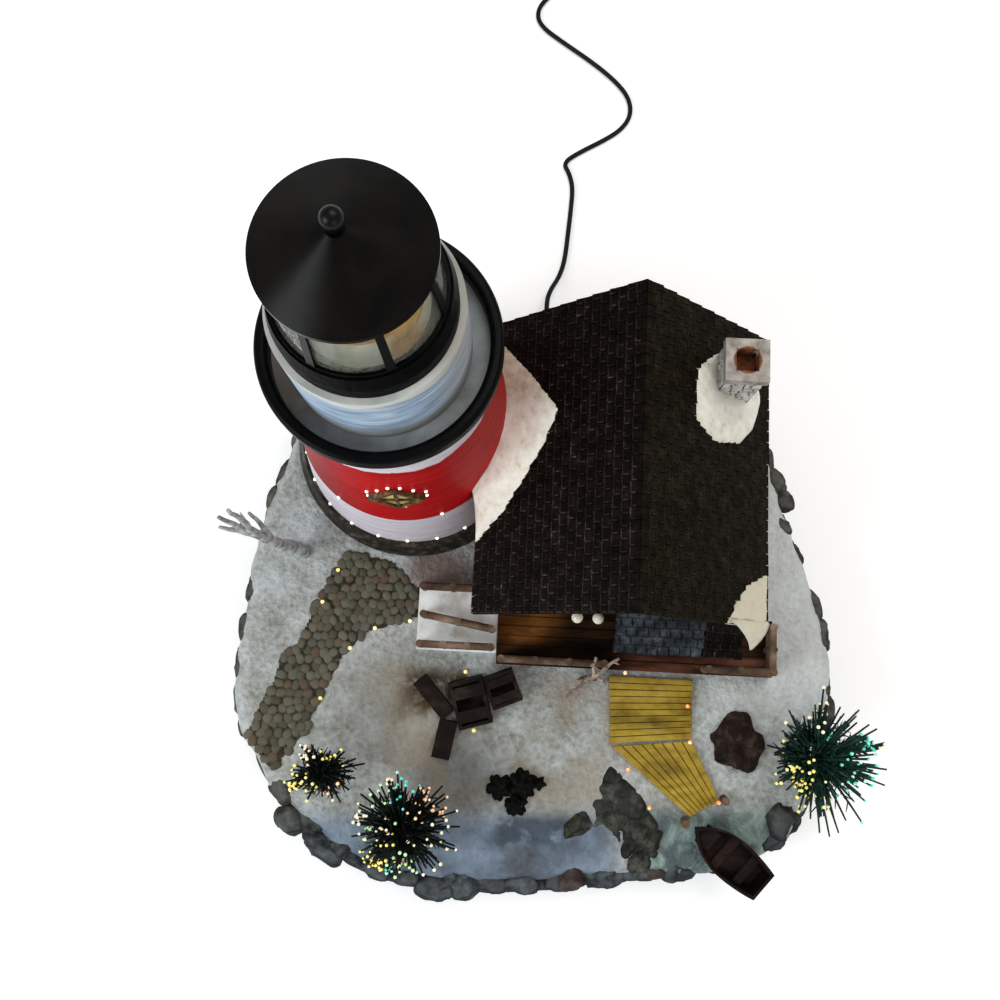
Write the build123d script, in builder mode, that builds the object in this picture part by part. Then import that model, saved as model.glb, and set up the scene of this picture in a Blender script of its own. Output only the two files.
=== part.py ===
from build123d import *
import os
from math import atan2, cos, degrees, dist, pi, radians, sin, sqrt, tan

# Fibre optic lighthouse decoration: a lighthouse and a keeper's house on a snowy cast island.
# Millimetres, +Z up, front towards -Y. The origin is on the table, under the middle of the island.
os.makedirs("parts", exist_ok=True)


# Island base
foot_height = 3.0
foot_radius = 6.0
foot_places = [(0, 0), (-112, -30), (-60, -108), (96, -92), (102, 60), (-40, 122)]
base_bottom = 2.0
ground_z = 45.0
slope_start_y = -42.0
slope_length = 98.0
front_drop = 12.0
shell_wall = 8.0
ceiling_thickness = 7.0
front_ceiling_z = 27.0
rim_drop = 4.0
rim_inset = 4.0
rim_rock_count = 54
inset_count = 36
rim_bulge = 2.2
rim_bulge_swing = 0.4
rim_bulge_beat = 2.4
shore_points = [
    (-119, 72), (-131, 40), (-138.5, -5), (-140.5, -38), (-129.5, -84), (-94, -124.5), (-40, -140), (40, -137),
    (104, -126), (132, -98), (143, -30), (125.5, 38), (108.5, 94), (62, 138.5), (5, 137), (-50, 140),
    (-109, 111),
]
vault_size = (165.0, 132.0)
vault_centre = (-2.5, 46.0)
back_panel_y = 135.5
back_panel_width = 66.0
back_panel_x = 27.0

# Bottom cover, its screws and the bulb hatch
cover_thickness = 2.5
cover_recess = 1.0
cover_gap = 0.4
screw_places = [(-118, -52), (-72, -100), (66, -112), (120, -46), (96, 88), (-98, 92)]
screw_radius = 1.4
screw_head_radius = 2.8
screw_head_height = 1.4
screw_length = 11.0
boss_radius = 4.2
boss_bite = 2.0
fit_gap = 0.1
hatch_opening = (30.0, 26.0)
hatch_lap = 3.0
hatch_thickness = 1.5
hatch_travel = 32.0
hatch_ridge = (10.0, 1.6, 0.6)
rail_width = 3.0
rail_lip = 1.6
rail_lip_height = 0.7

# Colour wheel drive and lamp
wheel_centre = (-18.0, 75.0)
wheel_radius = 28.0
wheel_thickness = 1.5
wheel_hub_radius = 4.0
wheel_hub_height = 3.4
shaft_radius = 1.5
press_gap = 0.02
running_gap = 0.05
motor_radius = 11.0
motor_height = 9.5
motor_ear_reach = 17.0
motor_ear_width = 7.0
motor_ear_thickness = 1.5
stake_radius = 1.2
stake_inset = 2.6
stake_bite = 1.0
stake_proud = 1.0
hub_gap = 0.6
shaft_end_gap = 0.5
light_offset = 20.5
bulb_radius = 5.0
bulb_length = 26.0
bulb_z = 13.0
bulb_round = 0.9
socket_size = (9.0, 15.0, 15.0)
socket_depth = 5.0
socket_gap = 0.5
ferrule_radius = 6.4
ferrule_bore = 5.2
ferrule_height = 25.0
ferrule_flange_radius = 8.6
ferrule_flange = 1.5
ferrule_clear = 1.2
tower_bundle_radius = 2.4
tree_bundle_radius = 1.1
tree_bundle_offset = 3.9
fibre_bend = 5.0
fibre_run_z = 19.0
fibre_drop_y = 44.0
fibre_loop_z = 66.0
fibre_loop_step = 4.0
fibre_fan = 60.0
fibre_hole_pitch = 8.0
fibre_hole_room = 0.6
tree_hole_room = 0.3
fibre_end_gap = 0.4
tower_fibre_end = 3.0

# Switch, cord inlet and inner wires
switch_x = 45.0
switch_z = 15.0
switch_width = 13.0
switch_height = 9.0
switch_depth = 11.0
switch_flange = 2.0
switch_flange_thickness = 1.2
rocker_gap = 0.4
rocker_side = 2.0
rocker_edge = 1.5
rocker_floor_gap = 1.4
rocker_clear = 0.35
rocker_face_draw = 0.3
rocker_root = 2.2
rocker_root_draw = 0.9
rocker_dish = 0.5
rocker_depth = 5.0
rocker_proud = 1.6
rocker_tilt = 10.0
pivot_radius = 0.9
pivot_depth = 0.8
pivot_reach = 1.0
pivot_end_gap = 0.2
inlet_x = 10.0
inlet_z = 10.5
relief_length = 20.0
relief_radius = 3.6
relief_tip_radius = 2.2
relief_flange_radius = 5.0
relief_flange = 1.5
relief_clear = 2.0
wire_radius = 0.9
wire_bend = 4.0
inlet_wire_bend = 2.8
wire_end = 0.2
inlet_lane = 18.5
lamp_lane = 36.5
motor_lane = 32.0
motor_wire_drop = 4.0
terminal_pitch = 3.0
terminal_rise = 2.0
wire_lift = 3.0
socket_wire_offset = 2.0
beacon_wire_offset = (-14.0, 17.0)

# Tower
tower_x = -56.5
tower_y = 75.3
tower_wall = 3.0
tower_foot_radius = 52.0
tower_head_radius = 36.0
tower_top_z = 187.0
plinth_height = 13.0
plinth_radius = 57.5
plinth_lip = 3.0
plinth_top_width = 1.6
tower_space_depth = 1.0
deck_thickness = 3.0
deck_hole_radius = 24.0
deck_edge = 1.5
rail_outer_radius = 43.6
gallery_rail_width = 4.9
gallery_rail_round = 0.4
rail_height = 7.2
drum_height = 41.0
drum_foot_radius = 32.4
drum_head_radius = 32.0
drum_wall = 2.5
drum_ledge = 6.0
lantern_ring_height = 14.0
lantern_ring_radius = 29.8
lantern_ring_top_radius = 28.4
lantern_floor = 3.0
lantern_pocket_radius = 24.5
glass_height = 26.5
glass_foot_radius = 26.6
glass_head_radius = 23.4
glass_thickness = 1.2
mullion_count = 7
mullion_thickness = 1.1
mullion_angle = 6.0
mullion_start = -16.0
hoop_height = 1.5
roof_rim = 2.5
roof_radius = 26.3
roof_rise = 13.0
roof_tip_radius = 3.0
roof_edge = 0.6
finial_radius = 3.4
finial_neck_radius = 2.0
finial_neck = 2.4
finial_peg_radius = 1.2
finial_peg = 4.0
finial_seat = 0.8
window_z = 130.0
window_half = 11.6
window_bar = 2.0
window_cross = 1.3
window_proud = 1.6
window_pane_recess = 0.8

# Beacon in the lantern
beacon_motor_radius = 10.0
beacon_motor_height = 20.0
beacon_stem_radius = 2.0
beacon_socket = 6.0
stem_end_gap = 0.5
dome_radius = 21.0
dome_rise = 14.0
dome_wall = 1.2
dome_hole_radius = 3.0
reflector_gap = 2.5
reflector_radius = 19.5
reflector_wall = 1.2
reflector_height = 15.0
reflector_skirt = 9.5
reflector_heading = 218.0
beacon_lamp_radius = 3.2
beacon_lamp_height = 11.0
beacon_lamp_round = 0.8

# Keeper's house
house_x = 38.8
house_y = 47.5
house_turn = -2.9
roof_half_width = 62.3
roof_half_length = 63.9
eave_z = 100.0
ridge_z = 164.0
roof_slab = 4.0
house_wall = 3.0
eave_overhang = 7.0
gable_overhang = 6.6
body_gap = 0.3
window_width = 14.0
window_height = 16.0
window_sill_z = 66.0
window_plate = 1.2
front_window_places = (-38.0, 36.0)
back_window_places = (-25.0, 25.0)
right_window_places = (-28.0, 28.0)
door_x = 12.0
door_width = 15.0
door_height = 27.0
chimney_x = 42.0
chimney_y = 38.0
chimney_top_z = 150.0
chimney_width = 15.4
chimney_cap = 17.4
chimney_cap_height = 5.0
flue_width = 9.0
flue_depth = 9.0
snow_depth = 2.4
drift_depth = 3.2

# Porch
deck_height = 6.0
ramp_height = 3.0
porch_left = -52.0
porch_right = 78.0
porch_front = -84.0
ramp_left = -90.0
ramp_front = -79.0
ramp_back = -47.0
log_radius = 1.9
post_radius = 1.8
handrail_height = 11.0
handrail_share = 0.9
lower_log_share = 0.45
rail_set_back = 2.5
ramp_rail_end = -60.0
front_rail_end = -2.0
side_rail_end = -61.0
boardwalk_rail_start = 46.0
middle_rail_start = (-86.5, -62.7)
middle_rail_end = (-54.5, -68.0)
board_pitch = 4.6
groove_width = 0.6
groove_depth = 0.8
porch_roof_front = -76.3
porch_roof_slab = 3.0
porch_roof_high_z = 90.0
porch_roof_low_z = 78.0
porch_roof_side_z = 72.0
porch_roof_hip_x = 40.0
porch_roof_right = 59.0
porch_post_places = [5.0, 35.0]
porch_post_set_back = 2.4
porch_post_gap = 1.0
porch_lamp_radius = 2.6
porch_lamp_stem = 0.4
porch_lamp_stem_length = 1.5
porch_lamp_away = 1.7
porch_lamp_z = 76.0
porch_lamp_places = [-16.0, -6.6]

# Grounds
walk_thickness = 2.4
walk_upper = [(36.5, -39.2), (76.0, -41.2), (75.3, -68.6), (36.8, -71.0)]
walk_lower = [(37.4, -72.2), (75.4, -69.6), (88.0, -97.0), (74.0, -105.0)]
walk_boards = 7
walk_first_board = 1.0
walk_groove_over = 4.0
walk_post_radius = 1.9
walk_post_height = 6.5
walk_post_places = [(71.5, -106.8), (90.2, -96.4)]
path_thickness = 1.2
path_upper = [
    (-74, 14.5), (-90, 17), (-103, 1.5), (-112, -18), (-123, -36.5), (-126, -41.5),
    (-95.5, -41.5), (-87, -27.5), (-75, -19.5), (-58, -14.5), (-55, -11), (-54, 8), (-64, 14.5),
]
path_lower = [
    (-126.5, -42.5), (-135, -59.5), (-122, -79), (-117, -76), (-110, -69.5), (-101.5, -58), (-96, -42.5),
]
boat_bow = (75.6, -107.4)
boat_stern = (106.6, -134.4)
boat_beam = 20.0
boat_transom = 15.0
boat_height = 9.0
boat_wall = 1.4
boat_floor = 1.6
boat_keel_scale = 0.72
boat_floor_scale = 0.76
boat_bow_wall = 2.2
boat_widest = 0.58
boat_shoulder = 0.28
boat_shoulder_share = 0.8
boat_quarter_swell = 0.05
thwart_places = (0.45, 0.75)
thwart_height = 0.62
thwart_length = 0.1
thwart_width = 0.86
foredeck_place = 0.2
foredeck_height = 0.72
foredeck_length = 0.18
foredeck_width = 0.5
thwart_thickness = 1.2
rock_places = [
    (39, -87.5, 9), (33, -98, 12), (22.5, -107.5, 11), (46.5, -99.5, 12), (44, -112.5, 12), (51, -123.5, 12),
    (58, -113.5, 9), (97, -71, 14),
]
rock_height = 0.62
rock_spread = 0.72
shrub_place = (-8.0, -92.0)
shrub_lobes = [(-8, 1, 6), (3.2, 2.5, 7), (12, 3, 3.4), (0.3, -7.5, 5.5)]
crate_places = [(-13.9, -44.6, 20, 14.6, 15.4, 9), (-28.9, -50.8, 14, 16, 22, 10)]
crate_board = 1.6
shrub_sink = 0.4
beam_places = [(-46.4, -48.8, -51, 21.8, 7.6, 4.0), (-41.4, -68.6, 77, 18.0, 8.6, 3.6)]

# Bare twig tree and twig shrub: each branch is a start, an end, and a radius at each
tree_twigs = [
    ((-110.0, 20.0, 0.0), (-117.8, 21.0, 30.0), 3.4, 2.6),
    ((-117.8, 21.0, 30.0), (-122.5, 22.5, 41.0), 2.6, 2.0),
    ((-122.5, 22.5, 41.0), (-130.2, 30.2, 65.0), 2.0, 0.9),
    ((-122.5, 22.5, 41.0), (-134.8, 27.5, 63.0), 1.8, 0.9),
    ((-122.5, 22.5, 41.0), (-136.5, 24.3, 55.0), 1.8, 0.8),
    ((-117.8, 21.0, 30.0), (-124.5, 31.0, 52.0), 1.6, 0.8),
]
shrub_twigs = [
    ((27.0, -40.2, 0.0), (27.2, -39.8, 22.5), 1.2, 0.9),
    ((27.2, -39.8, 22.5), (28.0, -31.0, 29.0), 0.9, 0.6),
    ((27.2, -39.8, 22.5), (38.5, -31.5, 28.0), 0.9, 0.6),
    ((27.0, -40.2, 0.0), (15.2, -49.5, 7.0), 1.0, 0.6),
    ((27.0, -40.2, 0.0), (20.3, -41.5, 10.0), 1.0, 0.6),
    ((27.0, -40.2, 0.0), (33.8, -41.5, 8.0), 1.0, 0.6),
]

# Fibre trees: place, trunk height, strand count, reach
fibre_trees = {
    "fibre_tree_right": (125.0, -75.5, 34.0, 170, 30.0),
    "fibre_tree_centre": (-58.6, -106.2, 31.0, 160, 25.0),
    "fibre_tree_left": (-96.0, -82.6, 21.0, 100, 17.0),
}
trunk_radius = 2.3
strand_radius = 0.5
strand_bite = 0.5
strand_rise_low = 12.0
strand_rise_high = 62.0
strand_root_low = 0.16
strand_root_span = 0.8
strand_shortening = 0.35
strand_swing = 0.12
strand_beat = 5.1

# Cord, coil, tie and plug-in adapter
cord_radius = 1.3
cord_arc_share = 0.45
cord_points = [
    (10.0, 155.5, 10.5), (10.0, 161.5, 10.5), (12.8, 169.5, 7.2), (17.2, 177.5, 2.6), (20.6, 187.5, 1.4),
    (22.6, 203.0, 1.4), (24.6, 219.5, 1.4), (25.7, 231.5, 1.4), (23.9, 240.0, 1.4), (20.3, 246.8, 1.4),
    (31.0, 253.6, 1.4), (42.6, 259.6, 1.4), (53.4, 266.4, 1.4), (59.6, 275.6, 1.4), (58.6, 286.6, 1.4),
    (51.0, 297.0, 1.4), (38.5, 308.4, 1.4), (23.2, 320.0, 1.4), (7.6, 332.4, 1.4), (6.4, 342.8, 1.4),
    (13.2, 350.8, 2.0), (19.8, 357.6, 2.6), (25.9, 363.6, 2.6),
]
coil_turns = 4
coil_layers = 4
climb_turns = 0.5
coil_whole_turns = 17
coil_knots_per_turn = 4
coil_pitch = 3.5
coil_inner_radius = 7.5
coil_lead_in = 3.0
coil_lead_out = 25.0
tie_angle = 200.0
tie_width = 5.0
tie_thickness = 0.7
tie_gap = 0.4
adapter_size = (56.0, 38.0, 30.0)
adapter_round = 4.0
blade_length = 16.0
blade_width = 6.3
blade_thickness = 1.5
blade_pitch = 12.7

# Heights and planes that follow from the sizes above
cover_bottom = base_bottom + cover_recess
cover_top = cover_bottom + cover_thickness
vault_z = ground_z - ceiling_thickness
plinth_top = ground_z + plinth_height
deck_top = tower_top_z + deck_thickness
rail_inner_radius = rail_outer_radius - gallery_rail_width
drum_top = deck_top + drum_height
lantern_foot = drum_top + lantern_ring_height
glass_top = lantern_foot + glass_height
roof_top = glass_top + roof_rim + roof_rise
taper = (tower_foot_radius - tower_head_radius) / (tower_top_z - plinth_top)
tower_axis = Axis((tower_x, tower_y, 0), (0, 0, 1))
slope_angle = degrees(atan2(front_drop, slope_length))
slope_normal = (0, -sin(radians(slope_angle)), cos(radians(slope_angle)))
slope = Plane((0, slope_start_y, ground_z), x_dir=(1, 0, 0), z_dir=slope_normal)
rim_slope = Plane((0, slope_start_y, ground_z - rim_drop), x_dir=(1, 0, 0), z_dir=slope_normal)
house_x_dir = Vector(1, 0, 0).rotate(Axis.Z, house_turn)
house_y_dir = Vector(0, 1, 0).rotate(Axis.Z, house_turn)
house = Plane((house_x, house_y, 0), x_dir=house_x_dir, z_dir=(0, 0, 1))
gable = Plane((house_x, house_y, 0), x_dir=house_x_dir, z_dir=-house_y_dir)
roof_pitch = atan2(ridge_z - eave_z, roof_half_width)
ridge_point = Vector(house_x, house_y, ridge_z)
roof_right_normal = house_x_dir * sin(roof_pitch) + Vector(0, 0, cos(roof_pitch))
roof_left_normal = house_x_dir * -sin(roof_pitch) + Vector(0, 0, cos(roof_pitch))
roof_right = Plane(ridge_point, x_dir=house_y_dir, z_dir=roof_right_normal)
roof_left = Plane(ridge_point, x_dir=-house_y_dir, z_dir=roof_left_normal)
wall_half_width = roof_half_width - eave_overhang
wall_half_length = roof_half_length - gable_overhang
roof_drop = (ridge_z - eave_z) / roof_half_width
wall_eave_z = ridge_z - roof_slab - wall_half_width * roof_drop
lamp_x = wheel_centre[0] - light_offset
lamp_y = wheel_centre[1]
bottom_up = (Align.CENTER, Align.CENTER, Align.MIN)


# Height of the ground under a point
def ground_at(y):
    below = max(0.0, slope_start_y - y)
    return ground_z - below * front_drop / slope_length


# A point of the sloping shore, in the slope's own plane
def on_slope(x, y):
    return (x, (y - slope_start_y) / cos(radians(slope_angle)))


# Outer radius of the tower wall at a height
def tower_radius(z):
    return tower_foot_radius - (z - plinth_top) * taper


# Points of the two roof slopes, from distances out from the ridge and along it
def right_slope(points):
    return [(along, -out / cos(roof_pitch)) for out, along in points]


def left_slope(points):
    return [(-along, out / cos(roof_pitch)) for out, along in points]


# Write one finished piece under its name
def save(piece, name):
    piece.label = name
    export_step(piece, f"parts/{name}.step")


# Island shell: a rim of shore rocks round a flat plateau with a sloping front
with BuildLine() as shore:
    Spline(*shore_points, periodic=True)
shore_edge = shore.edges()[0]
rock_ends = [shore_edge @ (i / rim_rock_count) for i in range(rim_rock_count)]
rock_crowns = []
for i in range(rim_rock_count):
    middle = (i + 0.5) / rim_rock_count
    ahead = shore_edge % middle
    reach = rim_bulge * (1 + rim_bulge_swing * sin(rim_bulge_beat * i))
    rock_crowns.append(shore_edge @ middle + Vector(ahead.Y, -ahead.X, 0) * reach)


# Points of the shore line moved inland
def inset_shore(amount):
    points = []
    for i in range(inset_count):
        ahead = shore_edge % (i / inset_count)
        points.append(shore_edge @ (i / inset_count) - Vector(ahead.Y, -ahead.X, 0) * amount)
    return points


with BuildPart() as shore_rocks:
    with BuildSketch(Plane.XY.offset(base_bottom)):
        with BuildLine():
            for i in range(rim_rock_count):
                ThreePointArc(rock_ends[i], rock_crowns[i], rock_ends[(i + 1) % rim_rock_count])
        make_face()
    extrude(amount=ground_z - rim_drop - base_bottom)
    split(bisect_by=rim_slope, keep=Keep.BOTTOM)

fibre_holes = [(lamp_x + i * fibre_hole_pitch, fibre_drop_y) for i in (-1, 0, 1)]
tree_places = [(x, y) for x, y, *_ in fibre_trees.values()]
beacon_wire = (tower_x + beacon_wire_offset[0], tower_y + beacon_wire_offset[1])
stake_reach = motor_ear_reach - stake_inset
stake_places = [(wheel_centre[0], wheel_centre[1] + side * stake_reach) for side in (-1, 1)]
motor_bottom = vault_z - motor_height

with BuildPart() as base_shell:
    add(shore_rocks.part)
    with BuildSketch(Plane.XY.offset(base_bottom)):
        with BuildLine():
            Spline(*inset_shore(rim_inset), periodic=True)
        make_face()
    extrude(amount=ground_z - base_bottom)
    split(bisect_by=slope, keep=Keep.BOTTOM)
    with BuildSketch(Plane.XY.offset(base_bottom)):
        with BuildLine():
            Spline(*inset_shore(shell_wall), periodic=True)
        make_face()
    extrude(amount=front_ceiling_z - base_bottom, mode=Mode.SUBTRACT)
    with BuildSketch(Plane.XY.offset(base_bottom)):
        with Locations(vault_centre):
            Rectangle(*vault_size)
    extrude(amount=vault_z - base_bottom, mode=Mode.SUBTRACT)
    with Locations((back_panel_x, back_panel_y, cover_top + cover_gap)):
        Box(back_panel_width + 2 * shell_wall, shell_wall, front_ceiling_z - cover_top,
            align=(Align.CENTER, Align.MAX, Align.MIN))
    with Locations((back_panel_x, back_panel_y, base_bottom)):
        Box(back_panel_width, shell_wall * 3, front_ceiling_z - base_bottom,
            align=(Align.CENTER, Align.MIN, Align.MIN), mode=Mode.SUBTRACT)
    with Locations([(x, y, cover_top) for x, y in screw_places]):
        Cylinder(boss_radius, front_ceiling_z - cover_top + boss_bite, align=bottom_up)
        Cylinder(screw_radius + fit_gap, screw_length, align=bottom_up, mode=Mode.SUBTRACT)
    with Locations([(x, y, vault_z + stake_bite) for x, y in stake_places]):
        Cylinder(stake_radius, stake_bite + motor_ear_thickness + stake_proud,
                 align=(Align.CENTER, Align.CENTER, Align.MAX))
    with Locations((lamp_x, lamp_y, vault_z)):
        Cylinder(ferrule_radius + fit_gap, ceiling_thickness, align=bottom_up, mode=Mode.SUBTRACT)
    with Locations([(x, y, vault_z) for x, y in fibre_holes + [beacon_wire]]):
        Cylinder(tree_bundle_radius + fibre_hole_room, ceiling_thickness, align=bottom_up, mode=Mode.SUBTRACT)
    with Locations([(x, y, fibre_run_z) for x, y in tree_places]):
        Cylinder(tree_bundle_radius + tree_hole_room, ground_z, align=bottom_up, mode=Mode.SUBTRACT)
    with Locations((switch_x, back_panel_y, switch_z)):
        Box(switch_width + 2 * fit_gap, shell_wall * 3, switch_height + 2 * fit_gap, mode=Mode.SUBTRACT)
    with Locations(Plane((inlet_x, back_panel_y, inlet_z), z_dir=(0, -1, 0))):
        Cylinder(relief_radius + fit_gap, shell_wall * 3, mode=Mode.SUBTRACT)
save(base_shell.part, "base_shell")

# Bottom cover with the bulb hatch opening and the hatch's two rails
hatch_size = (hatch_opening[0] + 2 * hatch_lap, hatch_opening[1] + 2 * hatch_lap)
rail_length = hatch_size[0] + hatch_travel + 2 * fit_gap
rail_x = lamp_x - hatch_size[0] / 2 - fit_gap + rail_length / 2
rail_drop = hatch_thickness + 2 * fit_gap
with BuildPart() as bottom_cover:
    with BuildSketch(Plane.XY.offset(cover_bottom)):
        with BuildLine():
            Spline(*inset_shore(shell_wall + cover_gap), periodic=True)
        make_face()
        with Locations((back_panel_x, back_panel_y - cover_gap)):
            Rectangle(back_panel_width, shell_wall * 3, align=(Align.CENTER, Align.MIN), mode=Mode.SUBTRACT)
        with Locations((lamp_x, lamp_y)):
            Rectangle(*hatch_opening, mode=Mode.SUBTRACT)
        with Locations(screw_places):
            Circle(screw_radius + fit_gap, mode=Mode.SUBTRACT)
    extrude(amount=cover_thickness)
    for side in (-1, 1):
        rail_y = lamp_y + side * (hatch_size[1] / 2 + fit_gap + rail_width / 2)
        with Locations((rail_x, rail_y, cover_bottom - rail_drop)):
            Box(rail_length, rail_width, rail_drop, align=bottom_up)
        lip_y = rail_y - side * rail_lip / 2
        with Locations((rail_x, lip_y, cover_bottom - rail_drop - rail_lip_height)):
            Box(rail_length, rail_width + rail_lip, rail_lip_height, align=bottom_up)
save(bottom_cover.part, "bottom_cover")

with BuildPart() as bulb_hatch:
    with Locations((lamp_x, lamp_y, cover_bottom - fit_gap)):
        Box(hatch_size[0], hatch_size[1], hatch_thickness, align=(Align.CENTER, Align.CENTER, Align.MAX))
    with Locations((lamp_x + hatch_opening[0] / 3, lamp_y, cover_bottom - fit_gap - hatch_thickness)):
        Box(hatch_ridge[1], hatch_ridge[0], hatch_ridge[2], align=(Align.CENTER, Align.CENTER, Align.MAX))
save(bulb_hatch.part, "bulb_hatch")

with BuildPart() as cover_screws:
    with Locations([(x, y, cover_bottom) for x, y in screw_places]):
        Cylinder(screw_radius, screw_length, align=bottom_up)
        Cylinder(screw_head_radius, screw_head_height, align=(Align.CENTER, Align.CENTER, Align.MAX))
save(cover_screws.part, "cover_screws")

with BuildPart() as rubber_feet:
    with Locations([(x, y, 0) for x, y in foot_places]):
        Cylinder(foot_radius, cover_bottom, align=bottom_up)
    chamfer(rubber_feet.edges().group_by(Axis.Z)[0], foot_height / 4)
save(rubber_feet.part, "rubber_feet")

# Lamp: a socket beside the hatch opening, with its bulb lying over the opening
socket_x = lamp_x - hatch_opening[0] / 2 - socket_size[0] / 2 - socket_gap
bulb_start = socket_x + socket_size[0] / 2 - socket_depth
with BuildPart() as lamp_socket:
    with Locations((socket_x, lamp_y, cover_top)):
        Box(*socket_size, align=bottom_up)
    with Locations(Plane((bulb_start, lamp_y, bulb_z), z_dir=(1, 0, 0))):
        Cylinder(bulb_radius + fit_gap, socket_size[0], align=bottom_up, mode=Mode.SUBTRACT)
save(lamp_socket.part, "lamp_socket")

with BuildPart() as lamp_bulb:
    with Locations(Plane((bulb_start, lamp_y, bulb_z), z_dir=(1, 0, 0))):
        Cylinder(bulb_radius, bulb_length, align=bottom_up)
    fillet(lamp_bulb.edges().group_by(Axis.X)[-1], bulb_radius * bulb_round)
save(lamp_bulb.part, "lamp_bulb")

# Colour wheel on the gear motor's shaft, under the vault
with BuildPart() as gear_motor:
    with Locations((*wheel_centre, motor_bottom)):
        Cylinder(motor_radius, motor_height, align=bottom_up)
        Cylinder(shaft_radius + running_gap, motor_height / 2, align=bottom_up, mode=Mode.SUBTRACT)
    with Locations((*wheel_centre, vault_z)):
        Box(motor_ear_width, motor_ear_reach * 2, motor_ear_thickness,
            align=(Align.CENTER, Align.CENTER, Align.MAX))
    with Locations([(x, y, vault_z) for x, y in stake_places]):
        Cylinder(stake_radius + fit_gap, motor_ear_thickness * 2, mode=Mode.SUBTRACT)
save(gear_motor.part, "gear_motor")

hub_top = motor_bottom - hub_gap
with BuildPart() as wheel_shaft:
    with Locations((*wheel_centre, hub_top - wheel_hub_height)):
        Cylinder(shaft_radius, wheel_hub_height + hub_gap + motor_height / 2 - shaft_end_gap, align=bottom_up)
save(wheel_shaft.part, "wheel_shaft")

with BuildPart() as colour_wheel:
    with Locations((*wheel_centre, hub_top - wheel_hub_height)):
        Cylinder(wheel_radius, wheel_thickness, align=bottom_up)
        Cylinder(wheel_hub_radius, wheel_hub_height, align=bottom_up)
        Cylinder(shaft_radius + press_gap, wheel_hub_height, align=bottom_up, mode=Mode.SUBTRACT)
save(colour_wheel.part, "colour_wheel")

# Fibre ferrule over the lamp, and the fibre bundles that start in it
ferrule_bottom = hub_top - wheel_hub_height + wheel_thickness + ferrule_clear
with BuildPart() as fibre_ferrule:
    with Locations((lamp_x, lamp_y, ferrule_bottom)):
        Cylinder(ferrule_radius, ferrule_height, align=bottom_up)
    with Locations((lamp_x, lamp_y, vault_z)):
        Cylinder(ferrule_flange_radius, ferrule_flange, align=(Align.CENTER, Align.CENTER, Align.MAX))
    with Locations((lamp_x, lamp_y, ferrule_bottom)):
        Cylinder(ferrule_bore, ferrule_height, align=bottom_up, mode=Mode.SUBTRACT)
save(fibre_ferrule.part, "fibre_ferrule")

with BuildPart() as tower_fibres:
    with Locations((lamp_x, lamp_y, ferrule_bottom)):
        Cylinder(tower_bundle_radius, tower_top_z - ferrule_bottom - tower_fibre_end, align=bottom_up)
save(tower_fibres.part, "tower_fibres")


# A round tube along straight runs with equal bends
def add_tube(points, radius, bend):
    with BuildLine() as route:
        FilletPolyline(*points, radius=bend)
    with BuildSketch(Plane(route.wire() @ 0, z_dir=route.wire() % 0)) as section:
        Circle(radius)
    sweep(section.sketch, path=route.wire())


with BuildPart() as tree_fibres:
    for i, ((drop_x, drop_y), (tree_x, tree_y)) in enumerate(zip(reversed(fibre_holes), tree_places)):
        turn = radians(270 + fibre_fan * (1 - i))
        start_x = lamp_x + tree_bundle_offset * cos(turn)
        start_y = lamp_y + tree_bundle_offset * sin(turn)
        loop_z = fibre_loop_z + fibre_loop_step * i
        add_tube([
            (start_x, start_y, ferrule_bottom),
            (start_x, start_y, loop_z),
            (drop_x, drop_y, loop_z),
            (drop_x, drop_y, fibre_run_z),
            (tree_x, tree_y, fibre_run_z),
            (tree_x, tree_y, ground_at(tree_y) - fibre_end_gap),
        ], tree_bundle_radius, fibre_bend)
save(tree_fibres.part, "tree_fibres")

# Rocker switch in the flat back panel
rocker_width = switch_width - 2 * rocker_side
rocker_height = switch_height - 2 * rocker_edge
pivot_length = rocker_width + 2 * pivot_reach
with BuildPart() as switch_body:
    with Locations((switch_x, back_panel_y, switch_z)):
        Box(switch_width, switch_depth, switch_height, align=(Align.CENTER, Align.MAX, Align.CENTER))
        Box(switch_width + 2 * switch_flange, switch_flange_thickness, switch_height + 2 * switch_flange,
            align=(Align.CENTER, Align.MIN, Align.CENTER))
        with Locations((0, switch_flange_thickness, 0)):
            Box(rocker_width + 2 * rocker_gap, rocker_depth + switch_flange_thickness + rocker_floor_gap,
                rocker_height + 2 * rocker_gap, align=(Align.CENTER, Align.MAX, Align.CENTER),
                mode=Mode.SUBTRACT)
        with Locations(Plane((0, -pivot_depth, 0), z_dir=(1, 0, 0))):
            Cylinder(pivot_radius + running_gap, pivot_length + 2 * pivot_end_gap, mode=Mode.SUBTRACT)
save(switch_body.part, "switch_body")

rocker_plane = Plane((switch_x, back_panel_y - pivot_depth, switch_z), x_dir=(0, 1, 0), z_dir=(1, 0, 0))
rocker_half = rocker_height / 2 - rocker_clear
rocker_face = rocker_half - rocker_face_draw
rocker_back = rocker_half - rocker_root_draw
with BuildPart() as switch_rocker:
    with BuildSketch(rocker_plane.rotated((0, 0, rocker_tilt))):
        with BuildLine():
            face_x = switch_flange_thickness + rocker_proud
            Polyline((face_x, -rocker_face), (-rocker_root, -rocker_back), (-rocker_root, rocker_back),
                     (face_x, rocker_face))
            ThreePointArc((face_x, rocker_face), (face_x - rocker_dish, 0), (face_x, -rocker_face))
        make_face()
    extrude(amount=rocker_width / 2, both=True)
    with Locations(rocker_plane):
        Cylinder(pivot_radius, pivot_length)
save(switch_rocker.part, "switch_rocker")

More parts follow.
